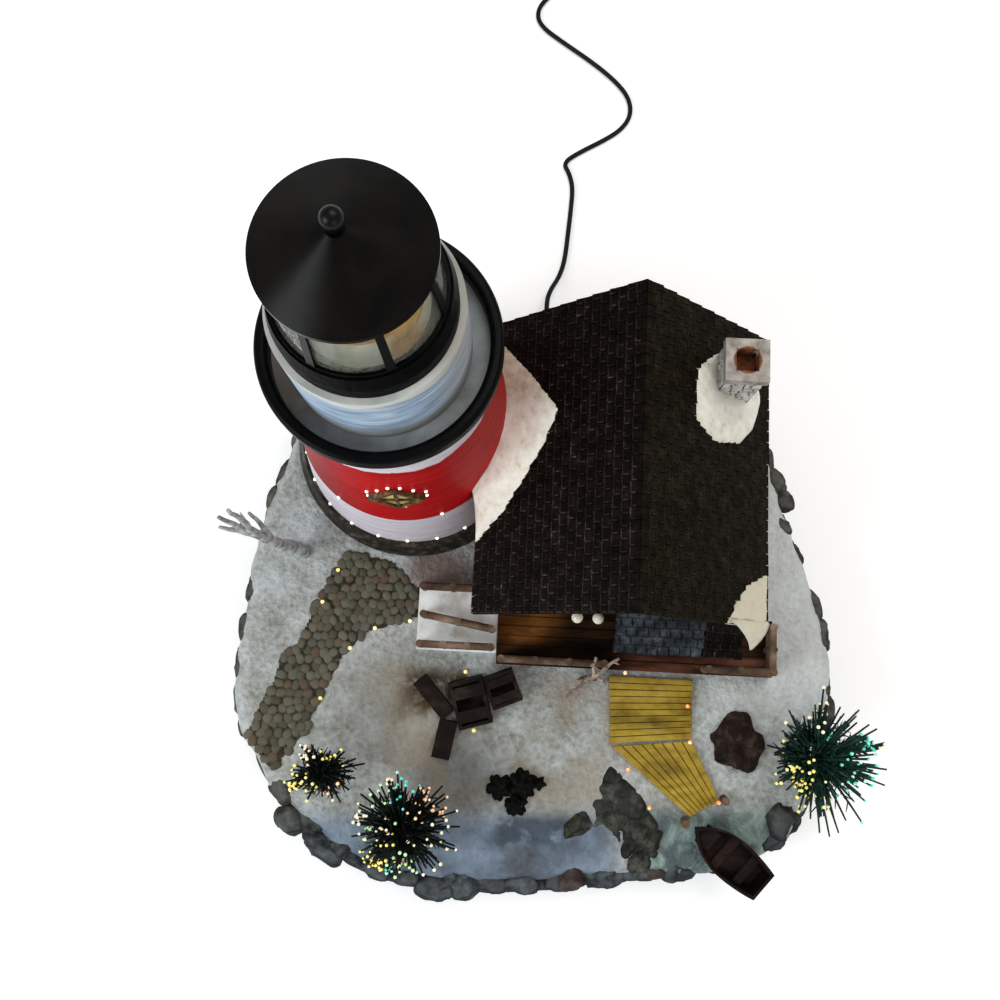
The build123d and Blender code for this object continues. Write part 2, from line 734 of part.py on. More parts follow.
# Strain relief: a flanged bush through the back panel, tapering out along the cord
relief_root = Plane((inlet_x, back_panel_y, inlet_z), x_dir=(1, 0, 0), z_dir=(0, 1, 0))
with BuildPart() as strain_relief:
    with BuildSketch(relief_root):
        Circle(relief_radius)
    extrude(amount=-shell_wall + relief_clear)
    with BuildSketch(relief_root):
        Circle(relief_flange_radius)
    extrude(amount=relief_flange)
    with BuildSketch(relief_root.offset(relief_flange)):
        Circle(relief_radius)
    with BuildSketch(relief_root.offset(relief_length)):
        Circle(relief_tip_radius)
    loft()
save(strain_relief.part, "strain_relief")

# Wires inside: inlet to switch, switch to lamp and motor, lamp socket up to the beacon
terminal_y = back_panel_y - switch_depth - wire_end
inlet_end_y = back_panel_y - shell_wall + relief_clear - wire_end
inlet_lane_y = back_panel_y - inlet_lane
lamp_lane_y = lamp_y + lamp_lane
motor_lane_y = lamp_y + motor_lane
socket_back = lamp_y + socket_size[1] / 2 + wire_end
motor_wire_z = vault_z - motor_wire_drop
beacon_wire_z = drum_top - beacon_motor_height / 2
beacon_reach = dist((0, 0), (beacon_wire[0] - tower_x, beacon_wire[1] - tower_y))
beacon_share = (beacon_motor_radius + wire_end) / beacon_reach
with BuildPart() as inner_wires:
    add_tube([
        (inlet_x, inlet_end_y, inlet_z),
        (inlet_x, inlet_lane_y, inlet_z),
        (switch_x - terminal_pitch, inlet_lane_y, inlet_z),
        (switch_x - terminal_pitch, inlet_lane_y, switch_z + terminal_rise),
        (switch_x - terminal_pitch, terminal_y, switch_z + terminal_rise),
    ], wire_radius, inlet_wire_bend)
    add_tube([
        (switch_x + terminal_pitch, terminal_y, switch_z),
        (switch_x + terminal_pitch, lamp_lane_y, switch_z),
        (socket_x, lamp_lane_y, switch_z),
        (socket_x, socket_back, switch_z),
    ], wire_radius, wire_bend)
    add_tube([
        (switch_x, terminal_y, switch_z - terminal_pitch),
        (switch_x, motor_lane_y, switch_z - terminal_pitch),
        (wheel_centre[0], motor_lane_y, switch_z - terminal_pitch),
        (wheel_centre[0], motor_lane_y, motor_wire_z),
        (wheel_centre[0], wheel_centre[1] + motor_radius + wire_end, motor_wire_z),
    ], wire_radius, wire_bend)
    add_tube([
        (socket_x - socket_wire_offset, socket_back, cover_top + wire_lift),
        (socket_x - socket_wire_offset, beacon_wire[1], cover_top + wire_lift),
        (beacon_wire[0], beacon_wire[1], cover_top + wire_lift),
        (beacon_wire[0], beacon_wire[1], beacon_wire_z),
        (tower_x + (beacon_wire[0] - tower_x) * beacon_share,
         tower_y + (beacon_wire[1] - tower_y) * beacon_share, beacon_wire_z),
    ], wire_radius, wire_bend)
save(inner_wires.part, "inner_wires")


# Ring or tube turned about the tower's axis, from a list of radius and height
def turn_about_tower(points):
    with BuildSketch(Plane((tower_x, tower_y, 0), x_dir=(1, 0, 0), z_dir=(0, -1, 0))) as profile:
        with BuildLine():
            Polyline(*points, close=True)
        make_face()
    revolve(profile.sketch, axis=tower_axis)


# Tower: tapered tube, black plinth ring round its foot
with BuildPart() as tower_body:
    turn_about_tower([
        (tower_radius(ground_z) - tower_wall, ground_z), (tower_radius(ground_z), ground_z),
        (tower_head_radius, tower_top_z), (tower_head_radius - tower_wall, tower_top_z),
    ])
save(tower_body.part, "tower_body")

with BuildPart() as tower_plinth:
    turn_about_tower([
        (tower_radius(ground_z) + fit_gap, ground_z), (plinth_radius, ground_z),
        (plinth_radius, ground_z + plinth_lip), (tower_radius(plinth_top) + plinth_top_width, plinth_top),
        (tower_radius(plinth_top) + fit_gap, plinth_top),
    ])
save(tower_plinth.part, "tower_plinth")

# Space that the tower takes up, with room round it, for what is built against it
with BuildPart() as tower_space:
    turn_about_tower([
        (0, ground_z - tower_space_depth), (plinth_radius + body_gap, ground_z - tower_space_depth),
        (plinth_radius + body_gap, ground_z + plinth_lip + body_gap),
        (tower_radius(plinth_top) + plinth_top_width + body_gap, plinth_top + body_gap),
        (tower_radius(plinth_top) + body_gap, plinth_top + body_gap),
        (tower_head_radius + body_gap, tower_top_z), (0, tower_top_z),
    ])

# Tower window: a diamond frame with cross bars, and an amber pane behind them
window_lean = degrees(atan2(taper, 1))
window_origin = (tower_x, tower_y - tower_radius(window_z), window_z)
window_normal = (0, -cos(radians(window_lean)), sin(radians(window_lean)))
window_plane = Plane(window_origin, x_dir=(1, 0, 0), z_dir=window_normal)
pane_half = window_half - window_bar * sqrt(2)
with BuildPart() as tower_wall_form:
    turn_about_tower([
        (0, ground_z), (tower_radius(ground_z) + running_gap, ground_z),
        (tower_head_radius + running_gap, tower_top_z), (0, tower_top_z),
    ])

with BuildPart() as window_frame:
    with BuildSketch(window_plane.offset(-window_proud * 2)):
        Rectangle(window_half * sqrt(2), window_half * sqrt(2), rotation=45)
        Rectangle(pane_half * sqrt(2), pane_half * sqrt(2), rotation=45, mode=Mode.SUBTRACT)
    extrude(amount=window_proud * 3)
    with BuildSketch(window_plane.offset(window_proud - window_pane_recess)):
        Rectangle(2 * pane_half + window_bar, window_cross)
        Rectangle(window_cross, 2 * pane_half + window_bar)
    extrude(amount=window_pane_recess)
    add(tower_wall_form.part, mode=Mode.SUBTRACT)
save(window_frame.part, "window_frame")

with BuildPart() as window_pane:
    with BuildSketch(window_plane.offset(-window_proud * 2)):
        Rectangle((pane_half - fit_gap) * sqrt(2), (pane_half - fit_gap) * sqrt(2), rotation=45)
    extrude(amount=window_proud * 3 - window_pane_recess - fit_gap)
    add(tower_wall_form.part, mode=Mode.SUBTRACT)
save(window_pane.part, "window_pane")

# Gallery: deck and its round rail
with BuildPart() as gallery_deck:
    turn_about_tower([
        (deck_hole_radius, tower_top_z), (rail_outer_radius - deck_edge, tower_top_z),
        (rail_outer_radius, deck_top), (deck_hole_radius, deck_top),
    ])
save(gallery_deck.part, "gallery_deck")

with BuildPart() as gallery_rail:
    turn_about_tower([
        (rail_inner_radius, deck_top), (rail_outer_radius, deck_top),
        (rail_outer_radius, deck_top + rail_height), (rail_inner_radius, deck_top + rail_height),
    ])
    fillet(gallery_rail.edges().group_by(Axis.Z)[-1], gallery_rail_width * gallery_rail_round)
save(gallery_rail.part, "gallery_rail")

with BuildPart() as upper_drum:
    turn_about_tower([
        (drum_foot_radius - drum_wall, deck_top), (drum_foot_radius, deck_top),
        (drum_head_radius, drum_top), (drum_head_radius - drum_ledge, drum_top),
        (drum_head_radius - drum_ledge, drum_top - drum_wall), (drum_head_radius - drum_wall, drum_top - drum_wall),
    ])
save(upper_drum.part, "upper_drum")

# Lantern: black ring with a floor, glass, mullion frame, roof and finial
with BuildPart() as lantern_ring:
    turn_about_tower([
        (beacon_stem_radius + running_gap, drum_top), (lantern_ring_radius, drum_top),
        (lantern_ring_radius, drum_top + lantern_ring_height / 2),
        (lantern_ring_top_radius, lantern_foot), (lantern_pocket_radius, lantern_foot),
        (lantern_pocket_radius, drum_top + lantern_floor),
        (beacon_stem_radius + running_gap, drum_top + lantern_floor),
    ])
save(lantern_ring.part, "lantern_ring")

with BuildPart() as lantern_glass:
    turn_about_tower([
        (glass_foot_radius - glass_thickness, lantern_foot), (glass_foot_radius, lantern_foot),
        (glass_head_radius, glass_top), (glass_head_radius - glass_thickness, glass_top),
    ])
save(lantern_glass.part, "lantern_glass")

with BuildPart() as lantern_frame:
    turn_about_tower([
        (glass_foot_radius + fit_gap, lantern_foot), (glass_foot_radius + mullion_thickness, lantern_foot),
        (glass_head_radius + mullion_thickness, glass_top), (glass_head_radius + fit_gap, glass_top),
    ])
    pane_angle = 360 / mullion_count - mullion_angle
    with BuildSketch(Plane((tower_x, tower_y, lantern_foot + hoop_height))):
        for i in range(mullion_count):
            start = mullion_start + mullion_angle / 2 + i * 360 / mullion_count
            edges = [radians(start), radians(start + pane_angle / 2), radians(start + pane_angle)]
            far = 2 * glass_foot_radius
            Polygon((0, 0), *[(far * cos(a), far * sin(a)) for a in edges], align=None)
    extrude(amount=glass_height - 2 * hoop_height, mode=Mode.SUBTRACT)
save(lantern_frame.part, "lantern_frame")

with BuildPart() as lantern_roof:
    turn_about_tower([
        (0, glass_top), (roof_radius - roof_edge, glass_top), (roof_radius, glass_top + roof_edge),
        (roof_radius, glass_top + roof_rim), (roof_tip_radius, roof_top), (0, roof_top),
    ])
    with Locations((tower_x, tower_y, roof_top)):
        Cylinder(finial_peg_radius + fit_gap, finial_peg + fit_gap,
                 align=(Align.CENTER, Align.CENTER, Align.MAX), mode=Mode.SUBTRACT)
save(lantern_roof.part, "lantern_roof")

with BuildPart() as finial:
    with Locations((tower_x, tower_y, roof_top)):
        Cylinder(finial_peg_radius, finial_peg, align=(Align.CENTER, Align.CENTER, Align.MAX))
        Cylinder(finial_neck_radius, finial_neck + finial_radius / 2, align=bottom_up)
    with Locations((tower_x, tower_y, roof_top + finial_neck + finial_radius * finial_seat)):
        Sphere(finial_radius)
save(finial.part, "finial")

# Beacon: motor under the lantern floor, turning reflector on its stem, fixed dome and lamp
with BuildPart() as beacon_motor:
    with Locations((tower_x, tower_y, drum_top)):
        Cylinder(beacon_motor_radius, beacon_motor_height, align=(Align.CENTER, Align.CENTER, Align.MAX))
        Cylinder(beacon_stem_radius + running_gap, beacon_socket,
                 align=(Align.CENTER, Align.CENTER, Align.MAX), mode=Mode.SUBTRACT)
save(beacon_motor.part, "beacon_motor")

dome_foot = drum_top + lantern_floor
dome_centre_drop = (dome_radius ** 2 - dome_rise ** 2) / (2 * dome_rise)
dome_sphere = dome_rise + dome_centre_drop
with BuildPart() as beacon_dome:
    with Locations((tower_x, tower_y, dome_foot - dome_centre_drop)):
        Sphere(dome_sphere)
        Sphere(dome_sphere - dome_wall, mode=Mode.SUBTRACT)
    split(bisect_by=Plane.XY.offset(dome_foot), keep=Keep.TOP)
    with Locations((tower_x, tower_y, dome_foot)):
        Cylinder(dome_hole_radius, dome_rise * 2, mode=Mode.SUBTRACT)
save(beacon_dome.part, "beacon_dome")

reflector_foot = dome_foot + dome_rise + reflector_gap
beacon_turn = Plane((tower_x, tower_y, reflector_foot)).rotated((0, 0, reflector_heading))
with BuildPart() as beacon_reflector:
    with Locations((tower_x, tower_y, reflector_foot)):
        Cylinder(beacon_stem_radius, reflector_foot - drum_top + beacon_socket - stem_end_gap,
                 align=(Align.CENTER, Align.CENTER, Align.MAX))
        Cylinder(reflector_radius, reflector_wall, align=bottom_up)
    with BuildSketch(beacon_turn.offset(-reflector_skirt)):
        Circle(reflector_radius)
        Circle(reflector_radius - reflector_wall, mode=Mode.SUBTRACT)
        with Locations((reflector_radius, 0)):
            Rectangle(2 * reflector_radius, 3 * reflector_radius, mode=Mode.SUBTRACT)
    extrude(amount=reflector_skirt + reflector_height)
save(beacon_reflector.part, "beacon_reflector")

with BuildPart() as beacon_lamp:
    with Locations((tower_x, tower_y, glass_top)):
        Cylinder(beacon_lamp_radius, beacon_lamp_height, align=(Align.CENTER, Align.CENTER, Align.MAX))
    fillet(beacon_lamp.edges().group_by(Axis.Z)[0], beacon_lamp_radius * beacon_lamp_round)
save(beacon_lamp.part, "beacon_lamp")

# House: hollow gabled walls with a door, clear of the tower, under a two-slope roof
front_wall = Plane(gable.origin, x_dir=house_x_dir, z_dir=-house_y_dir).offset(wall_half_length)
back_wall = Plane(gable.origin, x_dir=-house_x_dir, z_dir=house_y_dir).offset(wall_half_length)
right_wall = Plane(gable.origin, x_dir=house_y_dir, z_dir=house_x_dir).offset(wall_half_width)
wall_profile = [
    (-wall_half_width, ground_z), (wall_half_width, ground_z), (wall_half_width, wall_eave_z),
    (0, ridge_z - roof_slab), (-wall_half_width, wall_eave_z),
]
with BuildPart() as house_walls:
    with BuildSketch(gable):
        with BuildLine():
            Polyline(*wall_profile, close=True)
        make_face()
    extrude(amount=wall_half_length, both=True)
    with BuildSketch(gable):
        with BuildLine():
            Polyline(*wall_profile, close=True)
        make_face()
        offset(amount=-house_wall)
    extrude(amount=wall_half_length - house_wall, both=True, mode=Mode.SUBTRACT)
    add(tower_space.part, mode=Mode.SUBTRACT)
    with BuildSketch(front_wall):
        with Locations((door_x, ground_z + deck_height + body_gap + door_height / 2)):
            Rectangle(door_width, door_height)
    extrude(amount=window_plate)
save(house_walls.part, "house_walls")

with BuildPart() as house_roof:
    with BuildSketch(gable):
        with BuildLine():
            Polyline(
                (-roof_half_width, eave_z - roof_slab), (0, ridge_z - roof_slab),
                (roof_half_width, eave_z - roof_slab), (roof_half_width, eave_z), (0, ridge_z),
                (-roof_half_width, eave_z), close=True,
            )
        make_face()
    extrude(amount=roof_half_length, both=True)
    add(tower_space.part, mode=Mode.SUBTRACT)
save(house_roof.part, "house_roof")

# Windows: plates on the outer faces of the walls
window_middle_z = window_sill_z + window_height / 2
with BuildPart() as house_windows:
    for wall, places in ((front_wall, front_window_places), (back_wall, back_window_places),
                         (right_wall, right_window_places)):
        with BuildSketch(wall):
            with Locations([(x, window_middle_z) for x in places]):
                Rectangle(window_width, window_height)
        extrude(amount=window_plate)
save(house_windows.part, "house_windows")

# Chimney on the right slope, with a capped rim and a flue
chimney_plane = house.offset(chimney_top_z)
with BuildPart() as chimney:
    with BuildSketch(chimney_plane):
        with Locations((chimney_x, chimney_y)):
            Rectangle(chimney_width, chimney_width)
    extrude(amount=-(chimney_top_z - eave_z))
    with BuildSketch(chimney_plane):
        with Locations((chimney_x, chimney_y)):
            Rectangle(chimney_cap, chimney_cap)
    extrude(amount=-chimney_cap_height)
    with BuildSketch(chimney_plane):
        with Locations((chimney_x, chimney_y)):
            Rectangle(flue_width, flue_width)
    extrude(amount=-flue_depth, mode=Mode.SUBTRACT)
    split(bisect_by=roof_right, keep=Keep.TOP)
save(chimney.part, "chimney")

# Snow on the roof: round the chimney, on the front corner, and in the valley against the tower
chimney_snow = [(23, 37), (23, 15), (33, 8.5), (46, 11.5), (53.5, 20), (57.5, 33), (55, 47), (34, 48)]
corner_snow = [
    (roof_half_width, -40), (50, -47), (45, -54), (40, -roof_half_length),
    (roof_half_width, -roof_half_length),
]
with BuildPart() as roof_snow:
    with BuildSketch(roof_right):
        with BuildLine():
            Polyline(*right_slope(chimney_snow), close=True)
        make_face()
        with BuildLine():
            Polyline(*right_slope(corner_snow), close=True)
        make_face()
    extrude(amount=snow_depth)
    with BuildSketch(house.offset(eave_z - roof_slab)):
        with Locations((chimney_x, chimney_y)):
            Rectangle(chimney_width + 2 * body_gap, chimney_width + 2 * body_gap)
    extrude(amount=ridge_z, mode=Mode.SUBTRACT)
save(roof_snow.part, "roof_snow")

valley_snow = [
    (-roof_half_width, -31), (-53, -18), (-45, -4), (-36, 11), (-31, 21), (-42, 37), (-53, 52), (-58, 63),
    (-roof_half_width, 63),
]
with BuildPart() as tower_drift:
    with BuildSketch(roof_left):
        with BuildLine():
            Polyline(*left_slope(valley_snow), close=True)
        make_face()
    extrude(amount=drift_depth)
    add(tower_space.part, mode=Mode.SUBTRACT)
save(tower_drift.part, "tower_drift")

# Porch: boarded deck with a lower ramp to the path, log rails, a roof on posts, and two globe lamps
porch_back = -wall_half_length - body_gap
deck_floor = ground_z + deck_height
ramp_floor = ground_z + ramp_height
with BuildPart() as porch_deck:
    with BuildSketch(house.offset(ground_z)):
        with Locations(((porch_left + porch_right) / 2, (porch_front + porch_back) / 2)):
            Rectangle(porch_right - porch_left, porch_back - porch_front)
    extrude(amount=deck_height)
    board_count = int((porch_back - porch_front) / board_pitch)
    with BuildSketch(house.offset(deck_floor)):
        for i in range(1, board_count + 1):
            with Locations(((porch_left + porch_right) / 2, porch_front + i * board_pitch)):
                Rectangle(porch_right - porch_left, groove_width)
    extrude(amount=-groove_depth, mode=Mode.SUBTRACT)
    ramp_right = -wall_half_width - body_gap
    with BuildSketch(house.offset(ground_z)):
        with BuildLine():
            Polyline((ramp_left, ramp_front), (porch_left, ramp_front), (porch_left, porch_back),
                     (ramp_right, porch_back), (ramp_right, ramp_back), (ramp_left, ramp_back), close=True)
        make_face()
    extrude(amount=ramp_height)
save(porch_deck.part, "porch_deck")


# Log rail between two points of the house plan, on posts that stand on a floor
def add_rail(start, end, floor_z, posts):
    span = Vector(end[0] - start[0], end[1] - start[1], 0)
    rail_z = floor_z + handrail_height
    with Locations(house):
        for i in range(posts):
            at = i / (posts - 1)
            foot = (start[0] + span.X * at, start[1] + span.Y * at, floor_z)
            with Locations(foot):
                Cylinder(post_radius, handrail_height + log_radius, align=bottom_up)
        for height in (rail_z, floor_z + handrail_height * lower_log_share):
            with Locations(Plane((start[0], start[1], height), z_dir=span)):
                Cylinder(log_radius * handrail_share, span.length, align=bottom_up)


front_line = porch_front + rail_set_back
side_line = porch_right - rail_set_back
back_line = ramp_back - rail_set_back
ramp_line = ramp_front + rail_set_back
with BuildPart() as porch_rails:
    add_rail((ramp_left + rail_set_back, back_line), (ramp_rail_end, back_line), ramp_floor, 3)
    add_rail(middle_rail_start, middle_rail_end, ramp_floor, 3)
    add_rail((ramp_left + rail_set_back, ramp_line), (porch_left - rail_set_back, ramp_line), ramp_floor, 4)
    add_rail((porch_left + rail_set_back, front_line), (front_rail_end, front_line), deck_floor, 4)
    add_rail((side_line, front_line), (side_line, side_rail_end), deck_floor, 3)
    add_rail((boardwalk_rail_start, front_line), (side_line, front_line), deck_floor, 3)
save(porch_rails.part, "porch_rails")

post_y = porch_roof_front + porch_post_set_back
with BuildPart() as porch_roof:
    for away, top_z in ((-porch_back, porch_roof_high_z), (-porch_roof_front, porch_roof_low_z)):
        with BuildSketch(gable.offset(away)):
            with BuildLine():
                Polyline(
                    (0, top_z - porch_roof_slab), (0, top_z), (porch_roof_hip_x, top_z),
                    (porch_roof_right, porch_roof_side_z),
                    (porch_roof_right, porch_roof_side_z - porch_roof_slab),
                    (porch_roof_hip_x, top_z - porch_roof_slab), close=True,
                )
            make_face()
    loft(ruled=True)
    with Locations(house):
        with Locations([(x, post_y, deck_floor) for x in porch_post_places]):
            Cylinder(post_radius, porch_roof_low_z - deck_floor - porch_post_gap, align=bottom_up)
save(porch_roof.part, "porch_roof")

with BuildPart() as porch_lamps:
    for x in porch_lamp_places:
        with Locations(front_wall):
            with Locations((x, porch_lamp_z, 0)):
                Cylinder(porch_lamp_radius * porch_lamp_stem, porch_lamp_radius * porch_lamp_stem_length,
                         align=bottom_up)
            with Locations((x, porch_lamp_z, porch_lamp_radius * porch_lamp_away)):
                Sphere(porch_lamp_radius)
save(porch_lamps.part, "porch_lamps")


# Flat outline laid on the slope
def lay_on_slope(points, thickness):
    with BuildSketch(slope) as outline:
        with BuildLine():
            Polyline(*[on_slope(x, y) for x, y in points], close=True)
        make_face()
    extrude(outline.sketch, amount=thickness)


# Boardwalk: cross boards first, then a turned stretch with boards along it
with BuildPart() as boardwalk_upper:
    lay_on_slope(walk_upper, walk_thickness)
    walk_length = walk_upper[0][1] - walk_upper[3][1]
    with BuildSketch(slope.offset(walk_thickness)):
        for i in range(1, int(walk_length / board_pitch)):
            groove_y = walk_upper[0][1] - walk_first_board - i * board_pitch
            with Locations(on_slope(sum(x for x, _ in walk_upper) / len(walk_upper), groove_y)):
                Rectangle(walk_upper[1][0] - walk_upper[0][0] + walk_groove_over, groove_width)
    extrude(amount=-groove_depth, mode=Mode.SUBTRACT)

with BuildPart() as boardwalk_lower:
    lay_on_slope(walk_lower, walk_thickness)
    with BuildSketch(slope.offset(walk_thickness)):
        for i in range(1, walk_boards):
            share = i / walk_boards
            (ax, ay), (bx, by), (cx, cy), (dx, dy) = walk_lower
            top = Vector(*on_slope(ax + (bx - ax) * share, ay + (by - ay) * share))
            tip = Vector(*on_slope(dx + (cx - dx) * share, dy + (cy - dy) * share))
            middle = (top + tip) / 2
            with Locations((middle.X, middle.Y)):
                Rectangle((tip - top).length + walk_groove_over, groove_width,
                          rotation=degrees(atan2(tip.Y - top.Y, tip.X - top.X)))
    extrude(amount=-groove_depth, mode=Mode.SUBTRACT)

with BuildPart() as boardwalk:
    add(boardwalk_upper.part)
    add(boardwalk_lower.part)
save(boardwalk.part, "boardwalk")

with BuildPart() as boardwalk_posts:
    with Locations(slope):
        with Locations([on_slope(x, y) for x, y in walk_post_places]):
            Cylinder(walk_post_radius, walk_post_height, align=bottom_up)
save(boardwalk_posts.part, "boardwalk_posts")

# Cobbled path in two slabs, one on the plateau and one on the slope
with BuildPart() as stone_path:
    with BuildSketch(Plane.XY.offset(ground_z)):
        with BuildLine():
            Polyline(*path_upper, close=True)
        make_face()
    extrude(amount=path_thickness)
    lay_on_slope(path_lower, path_thickness)
save(stone_path.part, "stone_path")

# Rowing boat: a flared hull with a pointed bow, a foredeck and two thwarts
boat_length = sqrt((boat_stern[0] - boat_bow[0]) ** 2 + (boat_stern[1] - boat_bow[1]) ** 2)
boat_heading = degrees(atan2(boat_stern[1] - boat_bow[1], boat_stern[0] - boat_bow[0]))
bow_point = on_slope(*boat_bow)
boat_plane = Plane(slope.from_local_coords(Vector(*bow_point, 0)), x_dir=slope.x_dir, z_dir=slope.z_dir)
boat_plane = boat_plane.rotated((0, 0, boat_heading))


# Plan of the hull, narrowed by a scale and a wall
def hull_plan(narrow, wall):
    beam = boat_beam / 2 * narrow - wall
    transom = boat_transom / 2 * narrow - wall
    bow = boat_length * (1 - narrow) / 2 + wall * boat_bow_wall
    end = boat_length - boat_length * (1 - narrow) / 4 - wall
    middle = boat_length * boat_widest
    shoulder = boat_length * boat_shoulder
    quarter = (middle + end) / 2
    quarter_beam = (beam + transom) / 2 + beam * boat_quarter_swell
    with BuildLine() as plan:
        ThreePointArc((bow, 0), (shoulder, beam * boat_shoulder_share), (middle, beam))
        ThreePointArc((middle, beam), (quarter, quarter_beam), (end, transom))
        Line((end, transom), (end, -transom))
        ThreePointArc((end, -transom), (quarter, -quarter_beam), (middle, -beam))
        ThreePointArc((middle, -beam), (shoulder, -beam * boat_shoulder_share), (bow, 0))
    make_face(plan.edges())


with BuildPart() as boat_space:
    with BuildSketch(boat_plane.offset(boat_floor)):
        hull_plan(boat_floor_scale, boat_wall)
    with BuildSketch(boat_plane.offset(boat_height)):
        hull_plan(1.0, boat_wall)
    loft()

with BuildPart() as boat:
    with BuildSketch(boat_plane):
        hull_plan(boat_keel_scale, 0)
    with BuildSketch(boat_plane.offset(boat_height)):
        hull_plan(1.0, 0)
    loft()
    add(boat_space.part, mode=Mode.SUBTRACT)
    with Locations(boat_plane):
        with Locations([(boat_length * place, 0, boat_height * thwart_height) for place in thwart_places]):
            Box(boat_length * thwart_length, boat_beam * thwart_width, thwart_thickness)
        with Locations((boat_length * foredeck_place, 0, boat_height * foredeck_height)):
            Box(boat_length * foredeck_length, boat_beam * foredeck_width, thwart_thickness)
save(boat.part, "boat")

# Shore rocks and stump: round stones cut flat on the slope
with BuildPart() as rocks:
    with Locations(slope):
        for x, y, radius in rock_places:
            with Locations((*on_slope(x, y), -radius * (1 - rock_height))):
                Sphere(radius * rock_spread)
    split(bisect_by=slope, keep=Keep.TOP)
save(rocks.part, "rocks")

with BuildPart() as leaf_shrub:
    with Locations(slope):
        for dx, dy, radius in shrub_lobes:
            with Locations((*on_slope(shrub_place[0] + dx, shrub_place[1] + dy), radius * shrub_sink)):
                Sphere(radius)
    split(bisect_by=slope, keep=Keep.TOP)
save(leaf_shrub.part, "leaf_shrub")

# Cargo: two slatted crates and two loose beams
with BuildPart() as cargo:
    with Locations(slope):
        for x, y, turn, length, width, height in crate_places:
            with Locations(Location((*on_slope(x, y), 0), (0, 0, turn))):
                Box(length, width, height, align=bottom_up)
                with Locations((0, 0, crate_board)):
                    Box(length - 2 * crate_board, width - 2 * crate_board, height, align=bottom_up,
                        mode=Mode.SUBTRACT)
                with Locations((0, -width / 4, height - crate_board), (0, width / 4, height - crate_board)):
                    Box(length, width / 4, crate_board, align=bottom_up)
        for x, y, turn, length, width, height in beam_places:
            with Locations(Location((*on_slope(x, y), 0), (0, 0, turn))):
                Box(length, width, height, align=bottom_up)
save(cargo.part, "cargo")


# Bare branches as tapered rods, rooted at the ground under the first one
def add_twigs(twigs):
    root_z = ground_at(twigs[0][0][1])
    for start, end, start_radius, end_radius in twigs:
        foot = Vector(start[0], start[1], start[2] + root_z)
        tip = Vector(end[0], end[1], end[2] + root_z)
        with Locations(Plane(foot, z_dir=tip - foot)):
            Cone(start_radius, end_radius, (tip - foot).length, align=bottom_up)
        with Locations(tip):
            Sphere(end_radius)


with BuildPart() as twig_tree:
    add_twigs(tree_twigs)
    split(bisect_by=Plane.XY.offset(ground_z), keep=Keep.TOP)
save(twig_tree.part, "twig_tree")

with BuildPart() as twig_shrub:
    add_twigs(shrub_twigs)
    split(bisect_by=Plane.XY.offset(ground_z), keep=Keep.TOP)
save(twig_shrub.part, "twig_shrub")

# Fibre trees: a trunk with needles that climb it in a golden-angle spiral, steeper towards the top
golden_angle = 180 * (3 - sqrt(5))
for name, (x, y, height, count, reach) in fibre_trees.items():
    foot_z = ground_at(y)
    strands = []
    for i in range(count):
        share = (i + 0.5) / count
        rise = radians(strand_rise_low + (strand_rise_high - strand_rise_low) * share)
        turn = radians(i * golden_angle)
        outward = Vector(cos(turn), sin(turn), 0)
        heading = outward * cos(rise) + Vector(0, 0, sin(rise))
        root_z = foot_z + height * (strand_root_low + strand_root_span * share)
        root = Vector(x, y, root_z) + outward * (trunk_radius - strand_bite)
        length = reach * (1 - strand_shortening * share) * (1 + strand_swing * sin(strand_beat * i))
        strand = extrude(Plane(root, z_dir=heading) * RegularPolygon(strand_radius, 3), amount=length)
        strands.append(strand)
    with BuildPart() as fibre_tree:
        with BuildSketch(Plane.XY.offset(foot_z - trunk_radius)):
            with Locations((x, y)):
                Circle(trunk_radius)
        extrude(amount=height + trunk_radius)
        split(bisect_by=slope, keep=Keep.TOP)
        add(strands)
    save(fibre_tree.part, name)

# Cord: the free stretch, on straight runs with arcs as large as the runs allow
cord_radii = []
for before, corner, after in zip(cord_points, cord_points[1:], cord_points[2:]):
    run_in = Vector(*corner) - Vector(*before)
    run_out = Vector(*after) - Vector(*corner)
    half_turn = radians(run_in.get_angle(run_out)) / 2
    cord_radii.append(cord_arc_share * min(run_in.length, run_out.length) / tan(half_turn))
with BuildPart() as cord:
    with BuildLine() as cord_route:
        FilletPolyline(*cord_points, radius=cord_radii)
    with BuildSketch(Plane(cord_route.wire() @ 0, z_dir=cord_route.wire() % 0)):
        Circle(cord_radius)
    sweep(path=cord_route.wire())
save(cord.part, "cord")
cord_length = cord_route.wire().length
print("cord radii", [round(r, 1) for r in cord_radii])
print("cord length", round(cord_length, 1), "volume", round(cord.part.volume, 1),
      "section times length", round(pi * cord_radius ** 2 * cord_length, 1))

# Coil: the put-away length, spiralling in and out in layers, climbing where the spiral turns back
coil_lead = (Vector(*cord_points[-1]) - Vector(*cord_points[-2])).normalized()
coil_root = Vector(*cord_points[-1]) + coil_lead * coil_lead_in
coil_outer_radius = coil_inner_radius + coil_turns * coil_pitch
coil_start_angle = atan2(-coil_lead.X, coil_lead.Y)
coil_x = coil_root.X - coil_outer_radius * cos(coil_start_angle)
coil_y = coil_root.Y - coil_outer_radius * sin(coil_start_angle)
layer_turns = coil_turns + climb_turns
coil_total_turns = coil_whole_turns + (pi / 2 - coil_start_angle) / (2 * pi)
coil_knots = round(coil_total_turns * coil_knots_per_turn)


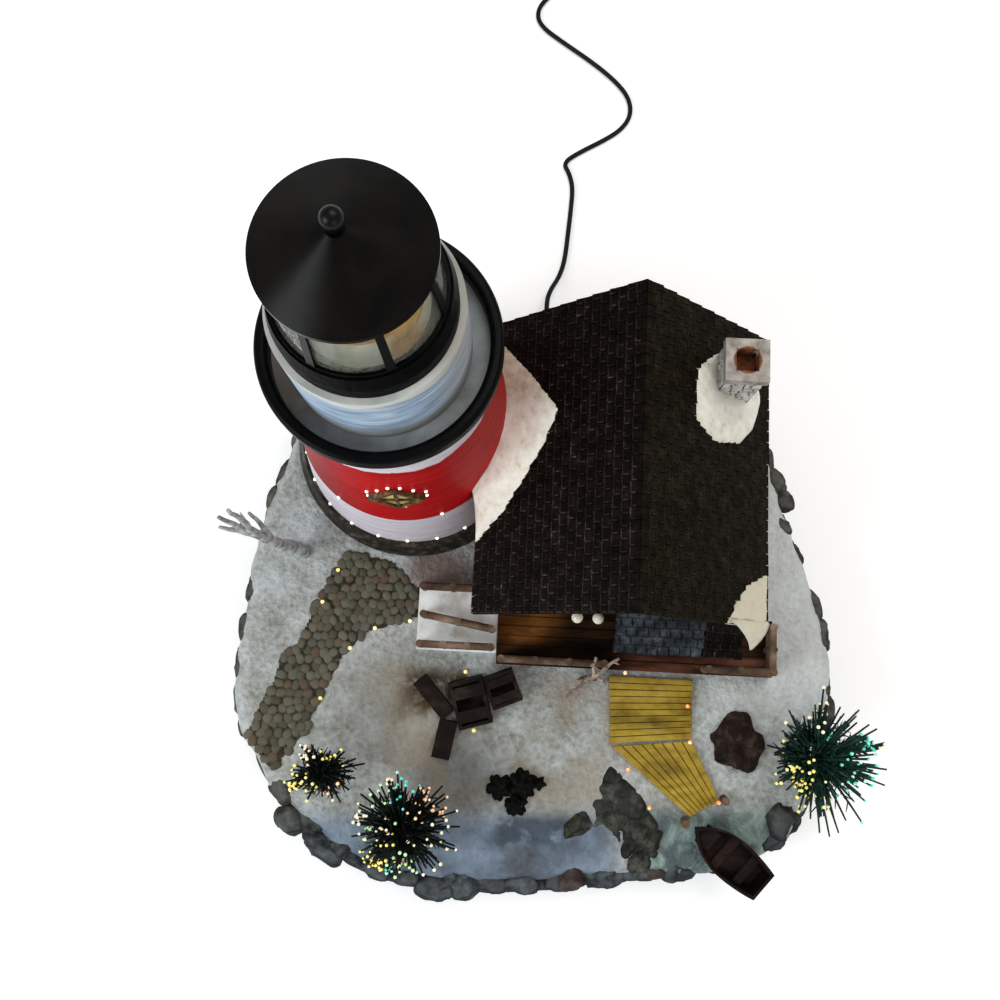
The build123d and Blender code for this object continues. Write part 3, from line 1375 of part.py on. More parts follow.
# Place on the coil after a number of turns
def coil_place(turns):
    layer = min(int(turns / layer_turns), coil_layers - 1)
    within = turns - layer * layer_turns
    wound = min(within, coil_turns) * coil_pitch
    radius = coil_inner_radius + wound if layer % 2 else coil_outer_radius - wound
    climb = max(0.0, within - coil_turns) / climb_turns
    height = coil_root.Z + coil_pitch * (layer + climb * climb * (3 - 2 * climb))
    angle = coil_start_angle + 2 * pi * turns
    return Vector(coil_x + radius * cos(angle), coil_y + radius * sin(angle), height)


# Direction of the coil after a number of turns
def coil_heading(turns):
    step = 0.002
    return (coil_place(turns + step) - coil_place(turns - step)).normalized()


# Two arcs that leave one point and reach the next along given directions
def join_with_arcs(start, start_heading, end, end_heading):
    span = end - start
    both = start_heading + end_heading
    spread = 2 * (1 - start_heading.dot(end_heading))
    reach = (sqrt(span.dot(both) ** 2 + spread * span.dot(span)) - span.dot(both)) / spread
    first = start + start_heading * reach
    second = end - end_heading * reach
    middle = (first + second) / 2
    TangentArc(start, middle, tangent=start_heading)
    TangentArc(middle, end, tangent=second - first)


knot_turns = [coil_total_turns * i / coil_knots for i in range(coil_knots + 1)]
knot_places = [coil_place(turns) for turns in knot_turns]
knot_headings = [coil_lead] + [coil_heading(turns) for turns in knot_turns[1:]]
coil_tail = knot_places[-1] + knot_headings[-1] * coil_lead_out
with BuildPart() as cord_coil:
    with BuildLine() as coil_route:
        Line(Vector(*cord_points[-1]), coil_root)
        for i in range(coil_knots):
            join_with_arcs(knot_places[i], knot_headings[i], knot_places[i + 1], knot_headings[i + 1])
        Line(knot_places[-1], coil_tail)
    with BuildSketch(Plane(cord_points[-1], z_dir=coil_lead)):
        Circle(cord_radius)
    sweep(path=coil_route.wire())
save(cord_coil.part, "cord_coil")

coil_path = coil_route.wire()
coil_length = coil_path.length
sample_count = int(coil_length)
samples = [tuple(coil_path @ (i / sample_count)) for i in range(sample_count + 1)]
apart = 10
least_gap = min(
    dist(samples[i], samples[j]) for i in range(sample_count) for j in range(i + apart, sample_count + 1)
) - 2 * cord_radius
print("coil length", round(coil_length, 1), "volume", round(cord_coil.part.volume, 1),
      "section times length", round(pi * cord_radius ** 2 * coil_length, 1), "least gap", round(least_gap, 2))
print("cord and coil together", round(cord_length + coil_length, 1))

# Tie: a flat band round the coil's bundle
tie_out = Vector(cos(radians(tie_angle)), sin(radians(tie_angle)), 0)
tie_along = Vector(-tie_out.Y, tie_out.X, 0)
bundle_in = sqrt((coil_inner_radius - cord_radius) ** 2 - (tie_width / 2) ** 2) - tie_gap
bundle_out = coil_outer_radius + cord_radius + tie_gap
bundle_low = coil_root.Z - cord_radius - tie_gap
bundle_high = coil_root.Z + (coil_layers - 1) * coil_pitch + cord_radius + tie_gap
tie_middle = Vector(coil_x, coil_y, (bundle_low + bundle_high) / 2) + tie_out * (bundle_in + bundle_out) / 2
with BuildPart() as cord_tie:
    with BuildSketch(Plane(tie_middle, x_dir=tie_out, z_dir=tie_along)):
        Rectangle(bundle_out - bundle_in + 2 * tie_thickness, bundle_high - bundle_low + 2 * tie_thickness)
        Rectangle(bundle_out - bundle_in, bundle_high - bundle_low, mode=Mode.SUBTRACT)
    extrude(amount=tie_width / 2, both=True)
save(cord_tie.part, "cord_tie")

# Plug-in adapter at the end of the cord, lying on the table
adapter_plane = Plane((coil_tail.X, coil_tail.Y, 0), x_dir=knot_headings[-1], z_dir=(0, 0, 1))
with BuildPart() as plug_adapter:
    with Locations(adapter_plane):
        Box(*adapter_size, align=(Align.MIN, Align.CENTER, Align.MIN))
    fillet(plug_adapter.edges(), adapter_round)
save(plug_adapter.part, "plug_adapter")

with BuildPart() as plug_blades:
    with Locations(adapter_plane):
        with Locations([(adapter_size[0], side * blade_pitch / 2, adapter_size[2] / 2) for side in (-1, 1)]):
            Box(blade_length, blade_thickness, blade_width, align=(Align.MIN, Align.CENTER, Align.CENTER))
save(plug_blades.part, "plug_blades")
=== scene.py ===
import random
from math import atan2, cos, exp, hypot, pi, radians, sin, sqrt

import bpy
from mathutils import Matrix, Vector, noise


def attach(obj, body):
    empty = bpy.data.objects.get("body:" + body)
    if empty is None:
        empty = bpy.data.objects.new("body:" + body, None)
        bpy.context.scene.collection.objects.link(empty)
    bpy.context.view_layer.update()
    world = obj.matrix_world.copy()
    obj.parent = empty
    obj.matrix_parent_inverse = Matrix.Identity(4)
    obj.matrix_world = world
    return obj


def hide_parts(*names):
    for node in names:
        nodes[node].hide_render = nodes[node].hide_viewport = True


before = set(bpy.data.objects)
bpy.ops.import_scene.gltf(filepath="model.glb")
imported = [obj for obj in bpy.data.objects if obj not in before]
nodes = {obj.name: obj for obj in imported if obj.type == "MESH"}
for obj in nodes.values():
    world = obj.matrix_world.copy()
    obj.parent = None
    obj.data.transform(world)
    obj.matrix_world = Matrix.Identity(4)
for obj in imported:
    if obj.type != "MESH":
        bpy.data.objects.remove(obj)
scene = bpy.context.scene
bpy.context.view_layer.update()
mm = 0.001
print("stage: frame loaded")


# Node kit
class Wire:
    def __init__(self, paint, socket):
        self.paint = paint
        self.socket = socket

    def __add__(self, other):
        return self.paint.combine("ADD", self, other)

    def __radd__(self, other):
        return self.paint.combine("ADD", other, self)

    def __sub__(self, other):
        return self.paint.combine("SUBTRACT", self, other)

    def __rsub__(self, other):
        return self.paint.combine("SUBTRACT", other, self)

    def __mul__(self, other):
        return self.paint.combine("MULTIPLY", self, other)

    def __rmul__(self, other):
        return self.paint.combine("MULTIPLY", other, self)


def tone(red, green, blue):
    parts = [value / 255 for value in (red, green, blue)]
    return tuple(p / 12.92 if p < 0.04045 else ((p + 0.055) / 1.055) ** 2.4 for p in parts) + (1.0,)


class Paint:
    sockets = {
        "color": "Base Color", "rough": "Roughness", "metal": "Metallic", "coat": "Coat Weight",
        "alpha": "Alpha", "normal": "Normal", "glow": "Emission Color", "power": "Emission Strength",
        "shine": "Specular IOR Level",
    }

    def __init__(self, name):
        self.material = bpy.data.materials.new(name)
        self.material.use_nodes = True
        self.tree = self.material.node_tree
        self.tree.nodes.clear()
        self.surface = self.tree.nodes.new("ShaderNodeBsdfPrincipled")
        output = self.tree.nodes.new("ShaderNodeOutputMaterial")
        self.tree.links.new(self.surface.outputs["BSDF"], output.inputs["Surface"])
        self.place = self.node("TexCoord", {}, "Object")

    def put(self, target, value):
        if isinstance(value, Wire):
            self.tree.links.new(value.socket, target)
        else:
            target.default_value = value

    def node(self, kind, inputs, output=0, **settings):
        made = self.tree.nodes.new("ShaderNode" + kind)
        for key, value in settings.items():
            setattr(made, key, value)
        for key, value in inputs.items():
            self.put(made.inputs[key], value)
        return Wire(self, made.outputs[output])

    def combine(self, operation, first, second):
        return self.node("Math", {0: first, 1: second}, operation=operation)

    def along(self, axis):
        return self.node("SeparateXYZ", {"Vector": self.place}, axis)

    def stretched(self, stretch):
        return self.node("VectorMath", {0: self.place, 1: stretch}, operation="MULTIPLY")

    def grain(self, scale, stretch=(1, 1, 1), detail=3.0, rough=0.55, twist=0.0):
        return self.node("TexNoise", {
            "Vector": self.stretched(stretch), "Scale": scale, "Detail": detail, "Roughness": rough,
            "Distortion": twist,
        })

    def cellEdges(self, scale):
        return self.node("TexVoronoi", {"Vector": self.place, "Scale": scale}, "Distance",
                         feature="DISTANCE_TO_EDGE")

    def near(self, x, y, inner, outer):
        gap = self.node("VectorMath", {0: self.stretched((1, 1, 0)), 1: (x * mm, y * mm, 0)}, "Value",
                        operation="DISTANCE")
        return self.step(gap, outer * mm, inner * mm)

    def facingUp(self):
        return self.node("SeparateXYZ", {"Vector": self.node("NewGeometry", {}, "Normal")}, "Z")

    def window(self, value, low, high, soft):
        return self.step(value, low - soft, low + soft) * self.step(value, high + soft, high - soft)

    def zone(self, across, deep):
        return self.window(self.along("X"), *across) * self.window(self.along("Y"), *deep)

    def step(self, value, low, high):
        return self.node("MapRange", {"Value": value, "From Min": low, "From Max": high}, "Result",
                         interpolation_type="SMOOTHSTEP")

    def mix(self, share, first, second):
        return self.node("Mix", {0: share, 6: first, 7: second}, 2, data_type="RGBA")

    def ramp(self, share, stops):
        made = self.node("ValToRGB", {"Fac": share}, "Color")
        elements = made.socket.node.color_ramp.elements
        while len(elements) < len(stops):
            elements.new(0.5)
        for element, (position, *color) in zip(elements, stops):
            element.position = position
            element.color = tone(*color)
        return made

    def bump(self, height, distance, strength=1.0):
        return self.node("Bump", {"Height": height, "Distance": distance, "Strength": strength}, "Normal")

    def use(self, **values):
        for key, value in values.items():
            self.put(self.surface.inputs[self.sockets[key]], value)
        return self


# Mesh kit
class Shape:
    def __init__(self):
        self.points = []
        self.faces = []

    def add(self, points, faces):
        start = len(self.points)
        self.points.extend(tuple(p) for p in points)
        self.faces.extend(tuple(start + i for i in face) for face in faces)

    def block(self, foot, head):
        sides = [(i, (i + 1) % 4, (i + 1) % 4 + 4, i + 4) for i in range(4)]
        self.add(list(foot) + list(head), [(3, 2, 1, 0), (4, 5, 6, 7)] + sides)

    def tube(self, path, radii, sides):
        path = [Vector(p) for p in path]
        across = Vector((0, 0, 1))
        points = []
        for i, point in enumerate(path):
            heading = (path[min(i + 1, len(path) - 1)] - path[max(i - 1, 0)]).normalized()
            if abs(heading.dot(across)) > 0.95:
                across = Vector((1, 0.2, 0))
            across = (across - heading * across.dot(heading)).normalized()
            other = heading.cross(across)
            for k in range(sides):
                turn = 2 * pi * k / sides
                points.append(point + (across * cos(turn) + other * sin(turn)) * radii[i])
        faces = []
        for i in range(len(path) - 1):
            for k in range(sides):
                n = (k + 1) % sides
                faces.append((i * sides + k, i * sides + n, (i + 1) * sides + n, (i + 1) * sides + k))
        last = (len(path) - 1) * sides
        faces.append(tuple(range(sides - 1, -1, -1)))
        faces.append(tuple(range(last, last + sides)))
        self.add(points, faces)

    def bead(self, centre, radius, rings=4, sides=8):
        centre = Vector(centre)
        points = [centre + Vector((0, 0, -radius))]
        for i in range(1, rings):
            tilt = pi * i / rings - pi / 2
            for k in range(sides):
                turn = 2 * pi * k / sides
                way = Vector((cos(tilt) * cos(turn), cos(tilt) * sin(turn), sin(tilt)))
                points.append(centre + way * radius)
        points.append(centre + Vector((0, 0, radius)))
        faces = []
        for k in range(sides):
            n = (k + 1) % sides
            faces.append((0, 1 + n, 1 + k))
            for i in range(rings - 2):
                foot = 1 + i * sides
                faces.append((foot + k, foot + n, foot + sides + n, foot + sides + k))
            top = 1 + (rings - 2) * sides
            faces.append((top + k, top + n, len(points) - 1))
        self.add(points, faces)

    def sheet(self, outline, step, lift):
        low = [min(p[i] for p in outline) for i in (0, 1)]
        high = [max(p[i] for p in outline) for i in (0, 1)]
        index = {}
        points = []
        for i in range(int((high[0] - low[0]) / step) + 2):
            for j in range(int((high[1] - low[1]) / step) + 2):
                x = low[0] + (i - 0.5) * step
                y = low[1] + (j - 0.5) * step
                depth, near = edgeDepth((x, y), outline)
                if depth < -step:
                    continue
                if depth < 0:
                    x, y = near
                    depth = 0.0
                place = lift(x, y, depth)
                if place is None:
                    continue
                index[i, j] = len(points)
                points.append(place)
        faces = []
        for i, j in index:
            corners = [(i, j), (i + 1, j), (i + 1, j + 1), (i, j + 1)]
            if all(c in index for c in corners):
                faces.append(tuple(index[c] for c in corners))
        self.add(points, faces)

    def piece(self, name, paint, slot, replaced=(), body="base", smooth=True):
        mesh = bpy.data.meshes.new(name)
        mesh.from_pydata(self.points, [], self.faces)
        mesh.validate()
        mesh.update()
        mesh.polygons.foreach_set("use_smooth", [smooth] * len(mesh.polygons))
        mesh.materials.append(paint.material)
        made = bpy.data.objects.new(name, mesh)
        scene.collection.objects.link(made)
        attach(made, body)
        if replaced:
            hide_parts(*replaced)
        return made


def edgeDepth(point, outline):
    inside = False
    best = 1e9
    nearest = point
    for i, (ax, ay) in enumerate(outline):
        bx, by = outline[i - 1]
        if (ay > point[1]) != (by > point[1]) and point[0] < (bx - ax) * (point[1] - ay) / (by - ay) + ax:
            inside = not inside
        length = (bx - ax) ** 2 + (by - ay) ** 2
        at = max(0.0, min(1.0, ((point[0] - ax) * (bx - ax) + (point[1] - ay) * (by - ay)) / length))
        near = (ax + (bx - ax) * at, ay + (by - ay) * at)
        gap = hypot(point[0] - near[0], point[1] - near[1])
        if gap < best:
            best = gap
            nearest = near
    return (best if inside else -best), nearest


def discFaces(rings, sides):
    faces = [(0, 1 + k, 1 + (k + 1) % sides) for k in range(sides)]
    for ring in range(rings - 1):
        foot = 1 + ring * sides
        for k in range(sides):
            n = (k + 1) % sides
            faces.append((foot + k, foot + sides + k, foot + sides + n, foot + n))
    return faces


def unitBead(settings):
    shape = Shape()
    shape.bead((0, 0, 0), 1.0, settings["rings"], settings["sides"])
    return shape


def boxed(point, power):
    return [abs(v) ** power * (1 if v > 0 else -1) for v in point]


def scaled(outline):
    return [(x * mm, y * mm) for x, y in outline]


def mottledPaint(name, scale, stops, bump, strength, rough, spread=0.0, **surface):
    paint = Paint(name)
    mottle = paint.grain(scale, detail=4.0)
    return paint.use(
        color=paint.ramp(mottle, stops), normal=paint.bump(mottle, bump, strength),
        rough=rough + spread * mottle if spread else rough, **surface,
    )


def coat(paint, *names):
    for name in names:
        nodes[name].data.materials.clear()
        nodes[name].data.materials.append(paint.material)


def wobble(point, size):
    return noise.noise(Vector(point) / size)


def stoneCrown(point, size, joint=0.45):
    near = noise.voronoi(Vector(point) / size)[0]
    gap = min(1.0, (near[1] - near[0]) / joint)
    return sqrt(gap * (2 - gap))


# View and light
viewSettings = {
    "place": (-0.0131, -0.0367, 0.528), "right": (1.0, 0.0, -0.0043), "back": (0.0042, -0.1677, 0.9858),
    "lens": 36.0, "sensor": 36.0, "nearest": 0.01,
}
backward = Vector(viewSettings["back"]).normalized()
upward = backward.cross(Vector(viewSettings["right"])).normalized()
rightward = upward.cross(backward)
cameraData = bpy.data.cameras.new("photoCamera")
cameraData.lens = viewSettings["lens"]
cameraData.sensor_width = viewSettings["sensor"]
cameraData.clip_start = viewSettings["nearest"]
camera = bpy.data.objects.new("photoCamera", cameraData)
scene.collection.objects.link(camera)
turned = Matrix((rightward, upward, backward)).transposed().to_4x4()
camera.matrix_world = Matrix.Translation(viewSettings["place"]) @ turned
scene.camera = camera
scene.view_settings.view_transform = "Standard"

lightSettings = {
    "world": 0.42, "aim": (0, 0, 0.08), "floorHalf": 6,
    "lamps": [
        ("windowLight", (-0.85, -0.45, 0.75), 0.6, 7.0, (0.92, 0.97, 1.0)),
        ("topLight", (0.3, 0.5, 1.3), 0.8, 7.0, (1.0, 0.98, 0.94)),
        ("frontFill", (0.55, -1.0, 0.8), 0.8, 3.0, (1.0, 0.97, 0.92)),
    ],
}
world = bpy.data.worlds.new("studio")
world.use_nodes = True
world.node_tree.nodes["Background"].inputs["Color"].default_value = (1, 1, 1, 1)
world.node_tree.nodes["Background"].inputs["Strength"].default_value = lightSettings["world"]
scene.world = world
for name, place, size, energy, color in lightSettings["lamps"]:
    lampData = bpy.data.lights.new(name, "AREA")
    lampData.size = size
    lampData.energy = energy
    lampData.color = color
    lamp = bpy.data.objects.new(name, lampData)
    lamp.location = place
    lamp.rotation_euler = (Vector(lightSettings["aim"]) - Vector(place)).to_track_quat("-Z", "Y").to_euler()
    scene.collection.objects.link(lamp)

floorPaint = Paint("paleFloor")
floorPaint.use(
    color=floorPaint.ramp(floorPaint.grain(6.0), [(0.0, 250, 250, 250), (1.0, 255, 255, 255)]),
    rough=0.9, shine=0.1, glow=(1, 1, 1, 1), power=0.25,
)
floorMesh = bpy.data.meshes.new("floor")
half = lightSettings["floorHalf"]
floorCorners = [(-half, -half, 0), (half, -half, 0), (half, half, 0), (-half, half, 0)]
floorMesh.from_pydata(floorCorners, [], [(0, 1, 2, 3)])
floorMesh.materials.append(floorPaint.material)
floor = bpy.data.objects.new("floor", floorMesh)
scene.collection.objects.link(floor)
print("stage: view and light")

# Cord: the route's points and the put-away coil's turns are one spline
cordSettings = {
    "radius": 1.3 * mm, "length": 1.8475,
    "route": [
        (10, 155.5, 10.5), (10, 161.5, 10.5), (12.8, 169.5, 7.2), (17.2, 177.5, 2.6), (20.6, 187.5, 1.4),
        (22.6, 203, 1.4), (24.6, 219.5, 1.4), (25.7, 231.5, 1.4), (23.9, 240, 1.4), (20.3, 246.8, 1.4),
        (31, 253.6, 1.4), (42.6, 259.6, 1.4), (53.4, 266.4, 1.4), (59.6, 275.6, 1.4), (58.6, 286.6, 1.4),
        (51, 297, 1.4), (38.5, 308.4, 1.4), (23.2, 320, 1.4), (7.6, 332.4, 1.4), (6.4, 342.8, 1.4),
        (13.2, 350.8, 2), (19.8, 357.6, 2.6), (25.9, 363.6, 2.6),
    ],
    "lead": 3.0, "outer": 21.5, "inner": 7.5, "pitch": 3.5, "layers": 4, "turns": 4, "climb": 0.5,
    "low": 2.6, "leadOut": 25.0, "perTurn": 20, "facets": 3, "smooth": 5, "order": 3,
}


def coilPoints(settings):
    last = Vector(settings["route"][-1])
    lead = (last - Vector(settings["route"][-2])).normalized()
    root = last + lead * settings["lead"]
    start = atan2(-lead.x, lead.y)
    centre = root - settings["outer"] * Vector((cos(start), sin(start), 0))
    layerTurns = settings["turns"] + settings["climb"]
    total = settings["layers"] * layerTurns - 1 + (pi / 2 - start) / (2 * pi)
    swell = 2 / (1 + cos(pi / settings["perTurn"]))
    points = []
    count = int(total * settings["perTurn"])
    for i in range(count + 1):
        turns = total * i / count
        layer = min(int(turns / layerTurns), settings["layers"] - 1)
        within = turns - layer * layerTurns
        wound = min(within, settings["turns"]) * settings["pitch"]
        radius = settings["inner"] + wound if layer % 2 else settings["outer"] - wound
        climb = max(0.0, within - settings["turns"]) / settings["climb"]
        height = settings["low"] + settings["pitch"] * (layer + climb * climb * (3 - 2 * climb))
        angle = start + 2 * pi * turns
        wide = swell * radius
        points.append((centre.x + wide * cos(angle), centre.y + wide * sin(angle), height))
    end = points[-1]
    return points + [(end[0] - settings["leadOut"], end[1], end[2])]


cordPaint = Paint("cordJacket")
cordPaint.use(
    color=cordPaint.ramp(cordPaint.grain(300.0), [(0.3, 6, 6, 6), (0.8, 16, 16, 17)]),
    rough=0.5 + 0.15 * cordPaint.grain(900.0), shine=0.2,
)
cordCurve = bpy.data.curves.new("cordLead", "CURVE")
cordCurve.dimensions = "3D"
cordCurve.bevel_depth = cordSettings["radius"]
cordCurve.bevel_resolution = cordSettings["facets"]
cordCurve.resolution_u = cordSettings["smooth"]
cordCurve.use_fill_caps = True
cordCurve.materials.append(cordPaint.material)
cordPoints = [Vector(p) * mm for p in cordSettings["route"] + coilPoints(cordSettings)]
cordSpline = cordCurve.splines.new("NURBS")
cordSpline.points.add(len(cordPoints) - 1)
for point, place in zip(cordSpline.points, cordPoints):
    point.co = (*place, 1.0)
cordSpline.order_u = cordSettings["order"]
cordSpline.use_endpoint_u = True
cordLead = bpy.data.objects.new("cordLead", cordCurve)
scene.collection.objects.link(cordLead)
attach(cordLead, "base")
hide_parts("cord", "cord_coil")
print("stage: cord")

# Ground of snow, with the shore of stones round it
islandSettings = {
    "shore": [
        (-119, 72), (-131, 40), (-138.5, -5), (-140.5, -38), (-129.5, -84), (-94, -124.5), (-40, -140),
        (40, -137), (104, -126), (132, -98), (143, -30), (125.5, 38), (108.5, 94), (62, 138.5), (5, 137),
        (-50, 140), (-109, 111),
    ],
    "groundZ": 45 * mm, "slopeY": -42 * mm, "fall": 12 / 98, "bottom": 2 * mm,
    "panel": (-6 * mm, 60 * mm, 135.3 * mm, 27 * mm),
}
groundSettings = {
    "perSpan": 28, "rings": 80, "inset": 0.9 * mm, "stray": 1.7 * mm, "straySize": 11 * mm,
    "sagStart": 0.95, "edgeSag": 3.4 * mm, "lump": 1.0 * mm, "lumpSize": 22 * mm, "grit": 0.5 * mm,
    "gritSize": 6 * mm, "frontInset": 5.0 * mm, "frontFrom": -94 * mm, "frontRight": 70 * mm,
    "frontFade": 22 * mm, "cornerY": -54 * mm, "cornerReach": 20 * mm, "cornerOut": 3.4 * mm,
    "crowd": 0.85,
}
shoreSettings = {
    "perSpan": 56, "stone": 15 * mm, "swell": 3.0 * mm, "rest": 1.9 * mm, "rough": 0.5 * mm,
    "roughSize": 6 * mm, "wallRows": 14, "tuck": 9.0 * mm, "squash": 1.2, "panelRoom": 2 * mm,
    "crest": [
        (9.0, 6.0, 0.0), (6.0, 5.2, 0.1), (3.8, 4.9, 0.3), (2.2, 5.4, 0.5), (1.0, 6.6, 0.8),
        (0.3, 8.2, 1.0),
    ],
}
boulderSettings = {
    "count": 50, "stray": 0.34, "boxy": 0.82, "rings": 20, "sides": 30, "rough": 0.42, "size": 7 * mm,
    "fine": 0.14, "fineSize": 2.6 * mm, "swellMost": 1.12, "frontFrom": -88 * mm,
    "side": {
        "long": (6.0, 10.5), "deep": (4.6, 6.4), "tall": (6.0, 8.0), "proud": (1.2, 3.6),
        "under": (1.0, 3.0),
    },
    "front": {
        "long": (8.0, 12.5), "deep": (5.6, 7.6), "tall": (7.0, 9.0), "proud": (0.6, 2.4),
        "under": (-0.6, 1.4),
    },
    "bare": [(-150, -92, -112, 36), (-20, 110, 66, 150)],
    "placed": [
        (-135, 2.6, 7.4, 4.2, 1.4), (-138, -16.2, 6.6, 4.0, 1.4), (-139.5, -34, 8.0, 3.6, 2.2),
        (-139.5, -50, 9.0, 4.6, 3.4), (-136.5, -62, 8.0, 4.6, 3.4), (-115.5, -107, 7.5, 6.0, -0.4),
        (-99.5, -119.5, 11.0, 6.0, -0.6), (-46, -138.5, 10.0, 6.0, 0.4), (-32.5, -138.5, 7.5, 6.5, -0.4),
        (121.5, 56, 7.0, 5.0, 1.2), (125, 45, 5.6, 4.6, 1.2), (118, -106, 10.0, 8.0, -2.6),
    ],
    "brown": [(17.7, -133.0, 6.6, 6.2, -1.4), (58.2, -129.5, 4.4, 4.4, -1.0)],
}


def groundAt(x, y):
    settings = islandSettings
    return settings["groundZ"] - max(0.0, settings["slopeY"] - y) * settings["fall"]


def shoreLine(perSpan):
    corners = [Vector(p) * mm for p in islandSettings["shore"]]
    line = []
    count = len(corners)
    for i in range(count):
        a, b, c, d = (corners[(i + k) % count] for k in (-1, 0, 1, 2))
        for k in range(perSpan):
            t = k / perSpan
            line.append(0.5 * (2 * b + (c - a) * t + (2 * a - 5 * b + 4 * c - d) * t * t
                               + (3 * b - a - 3 * c + d) * t * t * t))
    out = []
    for i, point in enumerate(line):
        run = line[(i + 1) % len(line)] - line[i - 1]
        out.append((point, Vector((run.y, -run.x)).normalized()))
    return out


def groundHeight(x, y):
    lumps = groundSettings["lump"] * wobble((x, y, 0), groundSettings["lumpSize"])
    grit = groundSettings["grit"] * wobble((x, y, 0.3), groundSettings["gritSize"])
    return groundAt(x, y) + lumps + grit


def frontShare(point):
    ahead = (groundSettings["frontFrom"] - point.y) / groundSettings["frontFade"]
    aside = (groundSettings["frontRight"] - point.x) / groundSettings["frontFade"]
    return max(0.0, min(1.0, ahead, aside))


ground = Shape()
rimLine = []
for point, out in shoreLine(groundSettings["perSpan"]):
    stray = groundSettings["stray"] * wobble((point.x, point.y, 0.4), groundSettings["straySize"])
    inset = groundSettings["inset"] + groundSettings["frontInset"] * frontShare(point)
    if point.x < 0:
        beside = abs(point.y - groundSettings["cornerY"]) / groundSettings["cornerReach"]
        inset -= groundSettings["cornerOut"] * max(0.0, 1 - beside * beside)
    rimLine.append(point - out * (inset + stray))
groundPoints = [(0, 0, groundAt(0, 0))]
for ring in range(1, groundSettings["rings"] + 1):
    share = (ring / groundSettings["rings"]) ** groundSettings["crowd"]
    beyond = max(0.0, share - groundSettings["sagStart"]) / (1 - groundSettings["sagStart"])
    sag = groundSettings["edgeSag"] * beyond ** 3
    for rim in rimLine:
        x, y = rim * share
        groundPoints.append((x, y, groundHeight(x, y) - sag))
ground.add(groundPoints, discFaces(groundSettings["rings"], len(rimLine)))

snowPaint = Paint("groundSnow")
dirt = snowPaint.grain(55.0, detail=6.0, rough=0.62, twist=0.5)
fine = snowPaint.grain(380.0, detail=3.0)
across = snowPaint.along("X")
deep = snowPaint.along("Y")
snowColor = snowPaint.ramp(dirt * 0.58 + fine * 0.42, [
    (0.32, 120, 118, 109), (0.44, 154, 156, 151), (0.54, 176, 181, 180), (0.70, 204, 210, 212),
])
beigeSpots = snowPaint.step(snowPaint.grain(26.0, detail=2.0), 0.46, 0.62)
slateSpots = snowPaint.step(snowPaint.grain(90.0, detail=3.0), 0.40, 0.52)
iceEdge = snowPaint.step(deep, -0.096, -0.112) * snowPaint.step(across, 0.05, 0.03)
iceColor = snowPaint.ramp(snowPaint.grain(42.0, detail=3.0), [
    (0.34, 50, 60, 73), (0.46, 74, 90, 110), (0.58, 102, 120, 142), (0.72, 140, 155, 172),
])
waterEdge = snowPaint.window(across, 0.052, 0.12, 0.006) * snowPaint.step(deep, -0.094, -0.108)
waterColor = snowPaint.ramp(snowPaint.grain(75.0, detail=4.0, twist=1.0), [
    (0.34, 48, 58, 66), (0.48, 82, 98, 98), (0.60, 122, 144, 138), (0.74, 164, 178, 172),
])
beige = beigeSpots * snowPaint.zone((-0.075, 0.06, 0.02), (-0.105, -0.03, 0.012))
yard = snowPaint.zone((-0.062, -0.02, 0.008), (-0.062, -0.036, 0.006))
slate = slateSpots * snowPaint.zone((-0.018, 0.02, 0.005), (-0.119, -0.105, 0.003))
patches = {
    "sunny": (snowPaint.zone((0.085, 0.16, 0.012), (-0.055, 0.09, 0.012)) * 0.5, tone(224, 227, 226)),
    "pathShade": (snowPaint.near(-72, -47, 6, 34) * 0.6, tone(116, 116, 110)),
    "cargoShade": (snowPaint.near(-38, -86, 8, 34) * 0.75, tone(86, 84, 80)),
    "beige": (beige * 0.6, tone(140, 126, 106)),
    "yard": (yard * snowPaint.step(dirt, 0.62, 0.42), tone(74, 58, 38)),
    "rampShade": (snowPaint.near(-45, 10, 7, 22) * 0.8, tone(112, 88, 78)),
    "ice": (iceEdge * 0.85, iceColor),
    "slate": (slate * 0.8, tone(58, 68, 77)),
    "water": (waterEdge * 0.9, waterColor),
}
for share, patch in patches.values():
    snowColor = snowPaint.mix(share, snowColor, patch)
snowPaint.use(color=snowColor, rough=0.7, shine=0.15, normal=snowPaint.bump(dirt + fine, 0.0018, 0.85))
ground.piece("groundSnow", snowPaint, "cast_rock", replaced=("base_shell",))

shore = Shape()
shorePoints = []
line = shoreLine(shoreSettings["perSpan"])
panelLeft, panelRight, panelY, panelTop = islandSettings["panel"]
rows = len(shoreSettings["crest"]) + shoreSettings["wallRows"]
for point, out in line:
    top = groundAt(point.x, point.y)
    crestLow = top - shoreSettings["crest"][-1][1] * mm
    for row in range(rows):
        if row < len(shoreSettings["crest"]):
            inset, drop, lean = shoreSettings["crest"][row]
            inset = inset * mm
            z = top - drop * mm
        else:
            down = (row - len(shoreSettings["crest"]) + 1) / shoreSettings["wallRows"]
            inset = 0.0
            lean = 1.0
            z = crestLow + (islandSettings["bottom"] - crestLow) * down
        x, y = point - out * inset
        squashed = (x, y, z * shoreSettings["squash"])
        swell = shoreSettings["swell"] * stoneCrown(squashed, shoreSettings["stone"])
        swell -= shoreSettings["rest"]
        swell += shoreSettings["rough"] * wobble((x, y, z), shoreSettings["roughSize"])
        if row == rows - 1 or row == 0:
            swell = min(swell, 0.0)
        x += out.x * lean * swell
        y += out.y * lean * swell
        z += (1 - lean) * swell
        if y > panelY and panelLeft < x < panelRight and z < panelTop:
            y = panelY
        shorePoints.append((x, y, z))
    x, y = point - out * shoreSettings["tuck"]
    shorePoints.append((x, min(y, panelY - shoreSettings["panelRoom"]), islandSettings["bottom"]))
rows += 1
shoreFaces = []
